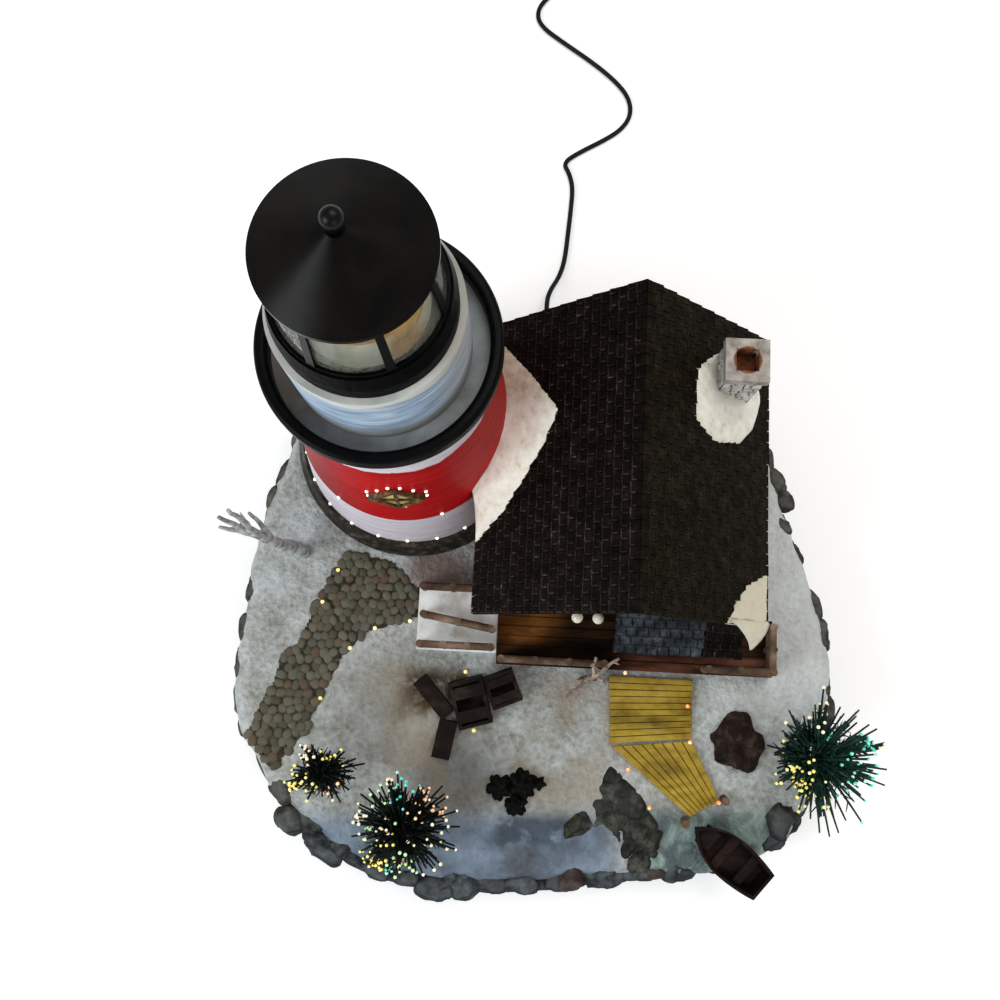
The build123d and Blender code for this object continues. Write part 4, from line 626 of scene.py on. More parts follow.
for i in range(len(line)):
    n = (i + 1) % len(line)
    for row in range(rows - 1):
        shoreFaces.append((i * rows + row, i * rows + row + 1, n * rows + row + 1, n * rows + row))
shore.add(shorePoints, shoreFaces)

unitStone = unitBead(boulderSettings)


def addBoulder(shape, point, out, sizes):
    settings = boulderSettings
    run = Vector((-out.y, out.x, 0))
    outward = Vector((out.x, out.y, 0))
    middle = Vector((point.x, point.y, groundAt(point.x, point.y) - sizes["under"] - sizes["tall"]))
    middle -= outward * (sizes["deep"] - sizes["proud"])
    places = []
    for p in unitStone.points:
        along, beside, above = boxed(p, settings["boxy"])
        spot = middle + run * along * sizes["long"] + outward * beside * sizes["deep"]
        spot += Vector((0, 0, above * sizes["tall"]))
        swell = 1 + settings["rough"] * wobble(spot, settings["size"])
        swell += settings["fine"] * wobble(spot, settings["fineSize"])
        places.append(middle + (spot - middle) * min(swell, settings["swellMost"]))
    shape.add(places, unitStone.faces)


def bareShore(point):
    return any(left < point.x / mm < right and low < point.y / mm < high
               for left, low, right, high in boulderSettings["bare"])


random.seed(19)
boulders = Shape()
runs = [0.0]
for i in range(len(line)):
    runs.append(runs[-1] + (line[(i + 1) % len(line)][0] - line[i][0]).length)
for k in range(boulderSettings["count"]):
    stray = random.uniform(-1, 1) * boulderSettings["stray"]
    sought = (k + 0.5 + stray) / boulderSettings["count"] * runs[-1]
    i = min(range(len(line)), key=lambda j: abs(runs[j] - sought))
    point, out = line[i]
    ranges = boulderSettings["front" if point.y < boulderSettings["frontFrom"] else "side"]
    sizes = {key: random.uniform(*span) * mm for key, span in ranges.items()}
    if not bareShore(point):
        addBoulder(boulders, point, out, sizes)
brownStones = Shape()
for shape, key in ((boulders, "placed"), (brownStones, "brown")):
    for x, y, long, deep, under in boulderSettings[key]:
        spot = Vector((x, y)) * mm
        out = min(line, key=lambda pair: (pair[0] - spot).length)[1]
        addBoulder(shape, spot, out, {
            "long": long * mm, "deep": deep * mm, "tall": deep * mm, "proud": deep * mm,
            "under": under * mm,
        })


def rockPaint(name, dark, middle, pale, frost, blue=0.0):
    paint = Paint(name)
    mottle = paint.grain(150.0, detail=5.0, rough=0.65)
    color = paint.ramp(mottle, [(0.30, *dark), (0.50, *middle), (0.72, *pale)])
    front = paint.step(paint.along("Y"), -0.085, -0.125) * blue
    blueRock = paint.ramp(mottle, [(0.3, 24, 28, 32), (0.5, 43, 49, 54), (0.7, 76, 85, 94)])
    color = paint.mix(front, color, blueRock)
    dust = paint.step(paint.facingUp() + (paint.grain(70.0) - 0.5) * 0.9, 0.72, 1.02) * frost
    color = paint.mix(dust, color, tone(170, 174, 174))
    return paint.use(color=color, rough=0.8, shine=0.1, normal=paint.bump(mottle, 0.0012, 0.7))


shoreRock = rockPaint("shoreStone", (26, 25, 22), (52, 51, 45), (84, 83, 76), 0.05, 0.7)
shore.piece("shoreStones", shoreRock, "cast_rock")
boulderRock = rockPaint("shoreBoulder", (32, 31, 27), (62, 60, 53), (98, 96, 88), 0.12, 0.9)
boulders.piece("shoreBoulders", boulderRock, "cast_rock")
brownRock = rockPaint("brownBoulder", (36, 29, 27), (62, 53, 50), (92, 82, 78), 0.0)
brownStones.piece("brownBoulders", brownRock, "cast_rock")
print("stage: island")

# Cobbled path: rounded stones in a dark bed
pathSettings = {
    "outline": [
        (-66, 15.5), (-88.5, 21.5), (-97.5, 9), (-104, -3.5), (-112, -22), (-120, -30), (-123.5, -42),
        (-130, -51.5), (-133, -59.5), (-136.2, -66.2), (-132, -75), (-123, -85), (-118.5, -79),
        (-111, -71.5), (-104.5, -62), (-100, -50), (-96, -40.5), (-87.5, -27), (-75.5, -18), (-65.5, -15.5),
        (-53, -12), (-53, 2.5), (-58, 6.5),
    ],
    "step": 0.9 * mm, "bed": 0.35 * mm, "stray": 1.4 * mm, "straySize": 7 * mm, "spacing": 4.4 * mm,
    "shift": 0.22, "margin": 1.0 * mm, "long": (2.35, 2.95), "wide": (1.95, 2.45), "tall": (1.1, 1.6),
    "rings": 8, "sides": 14, "boxy": 0.8, "rough": 0.16, "roughSize": 2.4 * mm,
}
pathOutline = scaled(pathSettings["outline"])


def bedLift(x, y, depth):
    depth += pathSettings["stray"] * (wobble((x, y, 0.7), pathSettings["straySize"]) - 0.25)
    return (x, y, groundHeight(x, y) + pathSettings["bed"]) if depth > 0 else None


pathBed = Shape()
pathBed.sheet(pathOutline, pathSettings["step"], bedLift)
bedPaint = mottledPaint("pathBed", 420.0, [
    (0.32, 36, 32, 24), (0.52, 60, 55, 43), (0.72, 92, 87, 72),
], 0.0008, 0.7, 0.8, shine=0.08)
pathBed.piece("pathBed", bedPaint, "cobble", replaced=("stone_path",))

random.seed(29)
cobbles = Shape()
unitCobble = unitBead(pathSettings)
pathRow = pathSettings["spacing"] * sqrt(3) / 2
pathLeft, pathLow = (min(p[i] for p in pathOutline) for i in (0, 1))
pathRight, pathHigh = (max(p[i] for p in pathOutline) for i in (0, 1))
for row in range(int((pathHigh - pathLow) / pathRow) + 1):
    for column in range(int((pathRight - pathLeft) / pathSettings["spacing"]) + 1):
        strayX, strayY = (random.uniform(-1, 1) * pathSettings["shift"] for axis in range(2))
        x = pathLeft + (column + (row % 2) / 2 + strayX) * pathSettings["spacing"]
        y = pathLow + (row + strayY) * pathRow
        sizes = [random.uniform(*pathSettings[key]) * mm for key in ("long", "wide", "tall")]
        turn = Matrix.Rotation(random.uniform(0, pi), 3, "Z")
        if edgeDepth((x, y), pathOutline)[0] < pathSettings["margin"]:
            continue
        middle = Vector((x, y, groundHeight(x, y)))
        places = []
        for p in unitCobble.points:
            reach = turn @ Vector([v * size for v, size in zip(boxed(p, pathSettings["boxy"]), sizes)])
            swell = 1 + pathSettings["rough"] * wobble(middle + reach, pathSettings["roughSize"])
            places.append(middle + reach * swell)
        cobbles.add(places, unitCobble.faces)
cobblePaint = Paint("cobbles")
each = cobblePaint.node("NewGeometry", {}, "Random Per Island")
cobbleTone = cobblePaint.ramp(each, [
    (0.0, 78, 74, 60), (0.3, 104, 100, 85), (0.46, 98, 80, 66), (0.56, 112, 109, 95), (1.0, 88, 88, 77),
])
cobbleTone = cobblePaint.mix(cobblePaint.grain(300.0) * 0.45, cobbleTone, tone(60, 55, 44))
cobbleGrit = cobblePaint.bump(cobblePaint.grain(500.0), 0.0006, 0.6)
cobblePaint.use(color=cobbleTone, rough=0.65, shine=0.12, normal=cobbleGrit)
cobbles.piece("cobbles", cobblePaint, "cobble")
print("stage: path")

# Rocky bank beside the boardwalk, and the dark stump
bankSettings = {
    "outline": [
        (37, -79), (44, -86), (52, -94), (57, -104), (63, -112), (61, -122), (55, -131), (46, -131),
        (41, -124), (38, -115), (33, -110), (25, -114), (15, -116), (13, -109), (20, -102), (27, -98),
        (31, -90),
    ],
    "step": 0.9 * mm, "tall": 5.2 * mm, "soft": 4.4 * mm, "stone": 10 * mm, "rough": 1.2 * mm,
    "roughSize": 3.5 * mm, "joints": 0.25, "sink": 0.8 * mm,
}
stumpSettings = {
    "x": 97 * mm, "y": -71 * mm, "radius": 12.5 * mm, "rings": 24, "sides": 40, "flat": 0.8, "rough": 0.44,
    "size": 10 * mm, "fine": 0.1, "fineShare": 1 / 3, "sink": 2 * mm, "foot": -1 * mm,
}


def bankLift(x, y, depth):
    settings = bankSettings
    crown = stoneCrown((x, y, 0.03), settings["stone"])
    height = settings["tall"] * (1 - exp(-depth / settings["soft"]))
    height *= settings["joints"] + (1 - settings["joints"]) * crown
    inward = min(1.0, depth / settings["soft"])
    height += settings["rough"] * wobble((x, y, 0.6), settings["roughSize"]) * inward
    return x, y, groundAt(x, y) + height - settings["sink"]


bank = Shape()
bank.sheet(scaled(bankSettings["outline"]), bankSettings["step"], bankLift)
bankRock = rockPaint("bankStone", (15, 15, 12), (38, 39, 32), (84, 84, 75), 0.05)
bank.piece("rockyBank", bankRock, "cast_rock", replaced=("rocks",))

unitStump = unitBead(stumpSettings)
stump = Shape()
middle = Vector((stumpSettings["x"], stumpSettings["y"], groundAt(stumpSettings["x"], stumpSettings["y"])))
middle.z -= stumpSettings["sink"]
stumpPoints = []
for p in unitStump.points:
    grown = Vector(p) * stumpSettings["radius"]
    spot = middle + grown
    swell = 1 + stumpSettings["rough"] * wobble(spot, stumpSettings["size"])
    swell += stumpSettings["fine"] * wobble(spot, stumpSettings["size"] * stumpSettings["fineShare"])
    grown *= swell
    grown.z = max(grown.z * stumpSettings["flat"], stumpSettings["foot"])
    stumpPoints.append(middle + grown)
stump.add(stumpPoints, unitStump.faces)
stumpRock = rockPaint("darkStump", (10, 7, 5), (38, 28, 23), (82, 66, 57), 0.0)
stump.piece("darkStump", stumpRock, "cast_rock")
print("stage: rocks")


# Timber
def timberPaint(name, dark, middle, pale, stretch, rough=0.6, shine=0.08):
    paint = Paint(name)
    streak = paint.grain(90.0, stretch=stretch, detail=5.0, rough=0.6, twist=0.4)
    wear = paint.grain(240.0)
    color = paint.ramp(streak * 0.8 + wear * 0.2, [(0.32, *dark), (0.5, *middle), (0.7, *pale)])
    return paint.use(color=color, rough=rough, shine=shine, normal=paint.bump(streak, 0.0009, 0.7))


def bevel(piece, width):
    modifier = piece.modifiers.new("edges", "BEVEL")
    modifier.width = width
    modifier.segments = 2
    modifier.limit_method = "ANGLE"
    return piece


walkSettings = {
    "upper": [(36.5, -39.2), (76, -41.2), (75.3, -68.6), (36.8, -71)],
    "lower": [(37.4, -72.2), (75.4, -69.6), (88, -97), (74, -105)],
    "crossBoards": 10, "longBoards": 8, "thick": 2.4 * mm, "gap": 0.10, "bevel": 0.3 * mm,
    "jitter": 0.35 * mm,
}


def addBoard(shape, corners, thick, lift):
    foot = [(x * mm, y * mm, groundAt(x * mm, y * mm)) for x, y in corners]
    head = [(x, y, z + thick + lift) for x, y, z in foot]
    shape.block(foot, head)


def between(first, second, share):
    return tuple(a + (b - a) * share for a, b in zip(first, second))


random.seed(7)
walk = Shape()
for corners, count, turned in ((walkSettings["upper"], walkSettings["crossBoards"], False),
                               (walkSettings["lower"], walkSettings["longBoards"], True)):
    a, b, c, d = corners
    if turned:
        a, b, c, d = b, c, d, a
    for i in range(count):
        first = (i + walkSettings["gap"] / 2) / count
        second = (i + 1 - walkSettings["gap"] / 2) / count
        board = [between(a, d, first), between(b, c, first), between(b, c, second), between(a, d, second)]
        addBoard(walk, board[::-1], walkSettings["thick"], random.uniform(-1, 0.4) * walkSettings["jitter"])
walkPaint = timberPaint(
    "yellowBoards", (84, 66, 16), (156, 129, 42), (190, 163, 68), (0.35, 1.0, 1.0), shine=0.16,
)
boards = walk.piece("boardwalkBoards", walkPaint, "timber", replaced=("boardwalk",), smooth=False)
bevel(boards, walkSettings["bevel"])

coat(timberPaint(
    "darkTimber", (28, 18, 12), (96, 76, 62), (158, 136, 116), (0.5, 0.5, 1.0),
), "porch_rails", "boardwalk_posts")
coat(timberPaint(
    "crateTimber", (9, 6, 5), (28, 20, 17), (62, 49, 42), (0.4, 1.0, 0.4),
), "cargo")
coat(timberPaint(
    "boatTimber", (6, 3, 2), (20, 12, 9), (54, 35, 27), (0.5, 0.9, 0.5), rough=0.45, shine=0.12,
), "boat")
print("stage: timber")

# Tower paints
towerSettings = {
    "x": -56.5 * mm, "y": 75.3 * mm, "footZ": 58 * mm, "redZ": 95 * mm, "redSoft": 0.2 * mm,
    "whiteZ": 159.2 * mm, "whiteSoft": 0.3 * mm, "footRadius": 52 * mm, "taper": 0.124,
}


def towerRadius(z):
    return towerSettings["footRadius"] - towerSettings["taper"] * (z - towerSettings["footZ"])


towerPaint = Paint("towerBands")
height = towerPaint.along("Z")
brush = towerPaint.grain(60.0, stretch=(0.6, 0.6, 14.0), detail=4.0)
speck = towerPaint.grain(500.0, stretch=(1, 1, 3))
whiteBand = towerPaint.ramp(brush * 0.7 + speck * 0.3, [
    (0.3, 176, 170, 184), (0.5, 208, 202, 212), (0.7, 232, 228, 232),
])
redBand = towerPaint.ramp(brush * 0.75 + speck * 0.25, [
    (0.3, 120, 4, 8), (0.5, 178, 6, 12), (0.7, 206, 15, 21),
])
ragged = (towerPaint.grain(180.0) - 0.5) * 0.004
wavy = (towerPaint.grain(45.0, stretch=(1, 1, 0.2), detail=1.0) - 0.5) * 0.006
redLow, redHigh = (towerSettings["redZ"] + way * towerSettings["redSoft"] for way in (-1, 1))
whiteHigh, whiteLow = (towerSettings["whiteZ"] + way * towerSettings["whiteSoft"] for way in (1, -1))
red = towerPaint.step(height, redLow, redHigh)
red = red * towerPaint.step(height + ragged + wavy, whiteHigh, whiteLow)
# The left side of the red band is turned a duskier, darker red: painted sheen and shade from the light
# falling on that side.
paintedLeftSheen = towerPaint.step(towerPaint.along("X"), -0.066, -0.092) * 0.62
redBand = towerPaint.mix(paintedLeftSheen, redBand, tone(116, 24, 34))
towerPaint.use(
    color=towerPaint.mix(red, whiteBand, redBand), rough=0.4 + 0.2 * speck, shine=0.1,
    normal=towerPaint.bump(brush, 0.0006, 0.5),
)
coat(towerPaint, "tower_body")

drumPaint = Paint("drumWhite")
drumHeight = drumPaint.along("Z")
ripple = drumPaint.grain(60.0, stretch=(0.7, 0.7, 5.0), detail=3.0, twist=0.6)
drumBlue = drumPaint.ramp(ripple, [(0.3, 112, 130, 152), (0.52, 150, 172, 196), (0.72, 190, 206, 222)])
drumGrey = drumPaint.ramp(ripple, [(0.3, 116, 120, 118), (0.7, 160, 162, 158)])
drumTop = drumPaint.ramp(ripple, [(0.3, 176, 180, 176), (0.7, 214, 216, 210)])
drumColor = drumPaint.mix(drumPaint.step(drumHeight, 0.203, 0.194), drumBlue, drumGrey)
upperEdge = drumPaint.step(drumHeight + (ripple - 0.5) * 0.012, 0.2235, 0.2290)
drumColor = drumPaint.mix(upperEdge, drumColor, drumTop)
warmSide = drumPaint.step(drumPaint.along("X"), -0.040, -0.026) * 0.55
drumColor = drumPaint.mix(warmSide, drumColor, tone(150, 142, 130))
drumPaint.use(color=drumColor, rough=0.5, shine=0.25, normal=drumPaint.bump(ripple, 0.001, 0.7))
coat(drumPaint, "upper_drum")


def blackPaint(name, rough, bump, scale, shine, pale=(9, 9, 11)):
    stops = [(0.3, 2, 2, 2), (0.75, *pale)]
    return mottledPaint(name, scale, stops, bump, 0.7, rough, 0.12, shine=shine)


coat(blackPaint("satinBlack", 0.24, 0.00005, 120.0, 0.11, (14, 10, 6)), "lantern_roof")
coat(blackPaint("railBlack", 0.3, 0.0002, 220.0, 0.06), "gallery_rail", "lantern_frame")
coat(blackPaint("glossBlack", 0.26, 0.0001, 300.0, 0.16), "finial")
coat(blackPaint("castBlack", 0.42, 0.0010, 260.0, 0.02, (5, 6, 7)), "lantern_ring")
coat(mottledPaint("plinthBlack", 260.0, [
    (0.3, 20, 18, 16), (0.55, 52, 48, 42), (0.75, 98, 93, 84),
], 0.0012, 0.7, 0.5, shine=0.1), "tower_plinth")

deckPaint = Paint("galleryFloor")
scuff = deckPaint.grain(60.0, detail=4.0)
grate = deckPaint.ramp(scuff, [(0.35, 106, 106, 102), (0.5, 124, 129, 132), (0.7, 148, 153, 158)])
# The left of the gallery floor is turned brown: a painted reflection.
paintedBrownReflection = deckPaint.step(deckPaint.along("X"), -0.078, -0.092) * 0.6
deckPaint.use(
    color=deckPaint.mix(paintedBrownReflection, grate, tone(112, 92, 68)), rough=0.45, shine=0.2,
    normal=deckPaint.bump(scuff, 0.0006, 0.6),
)
coat(deckPaint, "gallery_deck")

glassPaint = Paint("lanternGlass")
lead = glassPaint.cellEdges(300.0)
netted = glassPaint.window(glassPaint.along("X"), -0.1, -0.068, 0.002)
glassPaint.use(
    color=glassPaint.mix(glassPaint.step(lead, 0.02, 0.06), tone(120, 124, 110), tone(210, 216, 198)),
    rough=0.05, alpha=0.14 + 0.5 * glassPaint.step(lead, 0.06, 0.015) * netted, coat=0.5,
)
coat(glassPaint, "lantern_glass")
domePaint = Paint("beaconDome")
domeTone = domePaint.ramp(domePaint.grain(120.0), [(0.3, 196, 204, 180), (0.7, 228, 232, 214)])
# The gold spot on the dome's front right is a painted reflection of the gold reflector, and the dome's glow
# is painted light from the lamp inside.
domeTone = domePaint.mix(domePaint.near(-40.0, 60.0, 3, 13), domeTone, tone(196, 134, 14))
domePaint.use(color=domeTone, rough=0.3, glow=domeTone, power=0.12)
coat(domePaint, "beacon_dome")
goldPaint = Paint("goldReflector")
goldTone = goldPaint.ramp(goldPaint.grain(150.0), [(0.3, 150, 98, 4), (0.7, 232, 174, 30)])
# The reflector's glow is painted light, standing for the lamp light it throws.
goldPaint.use(
    color=goldTone, metal=0.25, rough=0.24 + 0.1 * goldPaint.grain(400.0), glow=goldTone, power=0.22,
)
coat(goldPaint, "beacon_reflector")
coat(mottledPaint("bronzeFrame", 320.0, [
    (0.32, 34, 20, 8), (0.52, 92, 64, 26), (0.7, 160, 122, 62),
], 0.0006, 0.6, 0.4, metal=0.3), "window_frame")
panePaint = Paint("amberPane")
# The panes' glow is painted light.
panePaint.use(
    color=panePaint.ramp(panePaint.grain(180.0), [(0.3, 118, 92, 52), (0.7, 214, 194, 136)]),
    glow=panePaint.ramp(panePaint.grain(180.0), [(0.3, 110, 80, 40), (0.7, 220, 196, 130)]),
    power=0.2, rough=0.25,
)
coat(panePaint, "window_pane", "house_windows")
print("stage: tower")

# House
houseSettings = {
    "x": 38.8 * mm, "y": 47.5 * mm, "yaw": radians(-2.9), "halfWidth": 62.3 * mm,
    "halfLength": 63.9 * mm, "eave": 100 * mm, "ridge": 164 * mm,
}
houseTurn = Matrix.Rotation(houseSettings["yaw"], 3, "Z")
houseMiddle = Vector((houseSettings["x"], houseSettings["y"], 0))
pitch = atan2(houseSettings["ridge"] - houseSettings["eave"], houseSettings["halfWidth"])


def houseSpot(x, y, z):
    return houseMiddle + houseTurn @ Vector((x, y, z))


def onRoof(x, y, lift):
    side = 1 if x > 0 else -1
    fall = (houseSettings["ridge"] - houseSettings["eave"]) / houseSettings["halfWidth"]
    z = houseSettings["ridge"] - abs(x) * fall
    return houseSpot(x + side * sin(pitch) * lift, y, z + cos(pitch) * lift)


def clearOfTower(spot, room):
    gap = hypot(spot.x - towerSettings["x"], spot.y - towerSettings["y"])
    return gap > towerRadius(spot.z) + room


shingleSettings = {
    "show": 4.4 * mm, "overlap": 1.6 * mm, "wide": 4.9 * mm, "gap": 0.35 * mm, "low": 0.95 * mm,
    "high": 0.3 * mm, "thick": 0.7 * mm, "jitter": 0.25 * mm, "lip": 0.3 * mm, "worn": 0.6 * mm,
    "wornFrom": 0.5, "raise": 0.1 * mm, "narrowest": 1 * mm, "towerRoom": 0.5 * mm, "porchOverlap": 0.35,
}
# The third and fourth tones are pale, for the strips along the tile edges: painted highlights where the
# edges catch the light.
shingleTones = {
    "roofShingles": ([
        (0.34, 6, 4, 2), (0.5, 15, 10, 7), (0.62, 26, 19, 15), (0.72, 40, 33, 29),
    ], 0.04),
    "oliveShingles": ([
        (0.34, 9, 7, 2), (0.5, 21, 17, 8), (0.62, 33, 28, 16), (0.72, 46, 40, 27),
    ], 0.04),
    "highlightShingles": ([
        (0.34, 15, 12, 11), (0.5, 33, 28, 26), (0.62, 58, 53, 51), (0.72, 100, 95, 93),
    ], 0.07),
    "oliveHighlightShingles": ([
        (0.34, 15, 12, 6), (0.5, 30, 25, 15), (0.62, 44, 38, 26), (0.72, 66, 60, 46),
    ], 0.05),
    "porchShingles": ([
        (0.34, 16, 19, 23), (0.5, 40, 47, 54), (0.66, 72, 82, 92), (0.8, 116, 124, 132),
    ], 0.1),
}


def addTile(shape, place, upper, lower, first, second, high, low, thick):
    spots = [(upper, first, high), (lower, first, low), (lower, second, low), (upper, second, high)]
    head = [place(*spot) for spot in spots]
    foot = [place(down, along, max(0.0, lift - thick)) for down, along, lift in spots]
    if (head[1] - head[0]).cross(head[3] - head[0]).z < 0:
        head.reverse()
        foot.reverse()
    shape.block(foot, head)


# Each tile gets a pale strip along its lower edge and one at its first end: painted highlights where the
# edges catch the light.
def addHighlightStrips(shape, place, upper, lower, first, second, high, low, settings):
    lipShare = 1 - settings["lip"] / abs(lower - upper)
    for share, end in ((lipShare, second), (settings["wornFrom"], first + settings["worn"])):
        start = upper + (lower - upper) * share
        lift = high + (low - high) * share + settings["raise"]
        addTile(shape, place, start, lower, first, end, lift, low + settings["raise"], settings["thick"])


def addCourse(shape, edges, place, upper, lower, start, end, shift, settings, keep):
    along = start - shift * settings["wide"]
    while along < end:
        first = max(along, start) + settings["gap"] / 2
        second = min(along + settings["wide"], end) - settings["gap"] / 2
        along += settings["wide"]
        if second - first < settings["narrowest"] or not keep(place(lower, (first + second) / 2, 0)):
            continue
        slip = random.uniform(-1, 0.4) * settings["jitter"]
        slip = slip if lower > upper else -slip
        low = settings["low"] + random.uniform(-0.5, 1) * settings["jitter"]
        addTile(shape, place, upper, lower + slip, first, second, settings["high"], low, settings["thick"])
        addHighlightStrips(edges, place, upper, lower + slip, first, second, settings["high"], low, settings)


random.seed(11)
slopes = {1: (Shape(), Shape()), -1: (Shape(), Shape())}
rowCount = round(houseSettings["halfWidth"] / cos(pitch) / shingleSettings["show"])
rowWidth = houseSettings["halfWidth"] / rowCount
for side in (1, -1):
    for row in range(rowCount):
        upper = max(0.0, row * rowWidth - shingleSettings["overlap"] * cos(pitch))
        addCourse(*slopes[side], onRoof, side * max(upper, 0.01 * mm), side * (row + 1) * rowWidth,
                  -houseSettings["halfLength"], houseSettings["halfLength"], (row % 2) / 2, shingleSettings,
                  lambda spot: clearOfTower(spot, shingleSettings["towerRoom"]))


def shinglePaint(name, stops, shine):
    paint = Paint(name)
    weather = paint.grain(190.0, detail=4.0)
    glint = paint.grain(640.0, detail=2.0)
    color = paint.ramp(weather * 0.7 + glint * 0.3, stops)
    return paint.use(color=color, rough=0.5, shine=shine, normal=paint.bump(weather, 0.001, 0.7))


roofPaints = {name: shinglePaint(name, *look) for name, look in shingleTones.items()}

porchSettings = {
    "back": -57.6 * mm, "front": -76.3 * mm, "highZ": 90 * mm, "lowZ": 78 * mm, "sideZ": 72 * mm,
    "hip": 40 * mm, "right": 59 * mm, "rows": 5,
}


def onPorchRoof(y, x, lift):
    settings = porchSettings
    share = (y - settings["back"]) / (settings["front"] - settings["back"])
    z = settings["highZ"] + (settings["lowZ"] - settings["highZ"]) * share
    if x > settings["hip"]:
        beyond = (x - settings["hip"]) / (settings["right"] - settings["hip"])
        z += (settings["sideZ"] - z) * beyond
    return houseSpot(x, y - lift * 0.5, z + lift * 0.85)


porchTiles = Shape()
porchEdges = Shape()
hipTiles = Shape()
porchRow = (porchSettings["front"] - porchSettings["back"]) / porchSettings["rows"]
for row in range(porchSettings["rows"]):
    upper = porchSettings["back"] + max(0.0, row - shingleSettings["porchOverlap"]) * porchRow
    lower = porchSettings["back"] + (row + 1) * porchRow
    for shape, start, end in ((porchTiles, 0.0, porchSettings["hip"]),
                              (hipTiles, porchSettings["hip"], porchSettings["right"])):
        addCourse(shape, porchEdges, onPorchRoof, upper, lower, start, end, (row % 2) / 2, shingleSettings,
                  lambda spot: True)
roofPieces = {
    "leftShingles": (slopes[-1][0], "roofShingles"), "rightShingles": (slopes[1][0], "oliveShingles"),
    "leftHighlightEdges": (slopes[-1][1], "highlightShingles"), "rightHighlightEdges": (slopes[1][1], "oliveHighlightShingles"),
    "porchShingles": (porchTiles, "porchShingles"), "porchHipShingles": (hipTiles, "roofShingles"),
    "porchHighlightEdges": (porchEdges, "highlightShingles"),
}
for name, (shape, paint) in roofPieces.items():
    shape.piece(name, roofPaints[paint], "shingle", smooth=False)
coat(roofPaints["roofShingles"], "house_roof", "porch_roof")

deckTimber = Paint("porchBoards")
plank = deckTimber.grain(90.0, stretch=(0.25, 1.0, 1.0), detail=5.0, rough=0.6, twist=0.4)
houseAcross = (deckTimber.along("X") - houseSettings["x"]) * cos(houseSettings["yaw"])
houseAcross = houseAcross + (deckTimber.along("Y") - houseSettings["y"]) * sin(houseSettings["yaw"])
# The boards are first coloured as a dark, shaded copy: painted shade under the porch roof. The brighter
# copy mixed in by lit is a painted pool of light.
floorBoards = deckTimber.ramp(plank, [(0.32, 8, 3, 1), (0.5, 28, 14, 7), (0.7, 66, 40, 20)])
litBoards = deckTimber.ramp(plank, [(0.32, 36, 16, 5), (0.5, 100, 60, 24), (0.7, 152, 98, 44)])
houseDeep = (deckTimber.along("Y") - houseSettings["y"]) * cos(houseSettings["yaw"])
houseDeep = houseDeep - (deckTimber.along("X") - houseSettings["x"]) * sin(houseSettings["yaw"])
lit = deckTimber.near(-6, -14, 8, 26) * deckTimber.step(houseDeep, -0.078, -0.070)
floorBoards = deckTimber.mix(lit, floorBoards, litBoards)
redBoards = deckTimber.ramp(plank, [(0.32, 44, 24, 16), (0.5, 98, 60, 44), (0.7, 140, 96, 76)])
outer = deckTimber.step(houseDeep, -0.0745, -0.0775) * deckTimber.step(houseAcross, 0.0, 0.016)
floorBoards = deckTimber.mix(outer, floorBoards, redBoards)
# The ramp's snow is painted extra bright and given a glow: painted light that lifts it out of the house's
# shadow.
rampSnowAndPaintedLight = deckTimber.ramp(deckTimber.grain(70.0, detail=4.0), [
    (0.34, 190, 180, 166), (0.5, 232, 234, 232), (0.7, 250, 252, 253),
])
ramp = deckTimber.step(houseAcross, -0.0516, -0.0524)
deckTimber.use(
    color=deckTimber.mix(ramp, floorBoards, rampSnowAndPaintedLight), glow=deckTimber.mix(ramp, tone(0, 0, 0), rampSnowAndPaintedLight),
    power=0.13, rough=0.6, shine=0.08, normal=deckTimber.bump(plank, 0.0009, 0.7),
)
coat(deckTimber, "porch_deck")

wallPaint = Paint("logWalls")
courses = wallPaint.node(
    "TexWave", {"Vector": wallPaint.place, "Scale": 44.0, "Distortion": 0.6, "Detail": 2.0}, "Fac",
    bands_direction="Z",
)
logGrain = wallPaint.grain(80.0, stretch=(0.4, 0.4, 3.0), detail=5.0)
wallPaint.use(
    color=wallPaint.mix(wallPaint.step(courses, 0.25, 0.0), wallPaint.ramp(logGrain, [
        (0.3, 62, 36, 17), (0.5, 112, 70, 34), (0.7, 152, 104, 54),
    ]), tone(20, 12, 7)), rough=0.6, normal=wallPaint.bump(courses, 0.0015, 0.8),
)
coat(wallPaint, "house_walls")

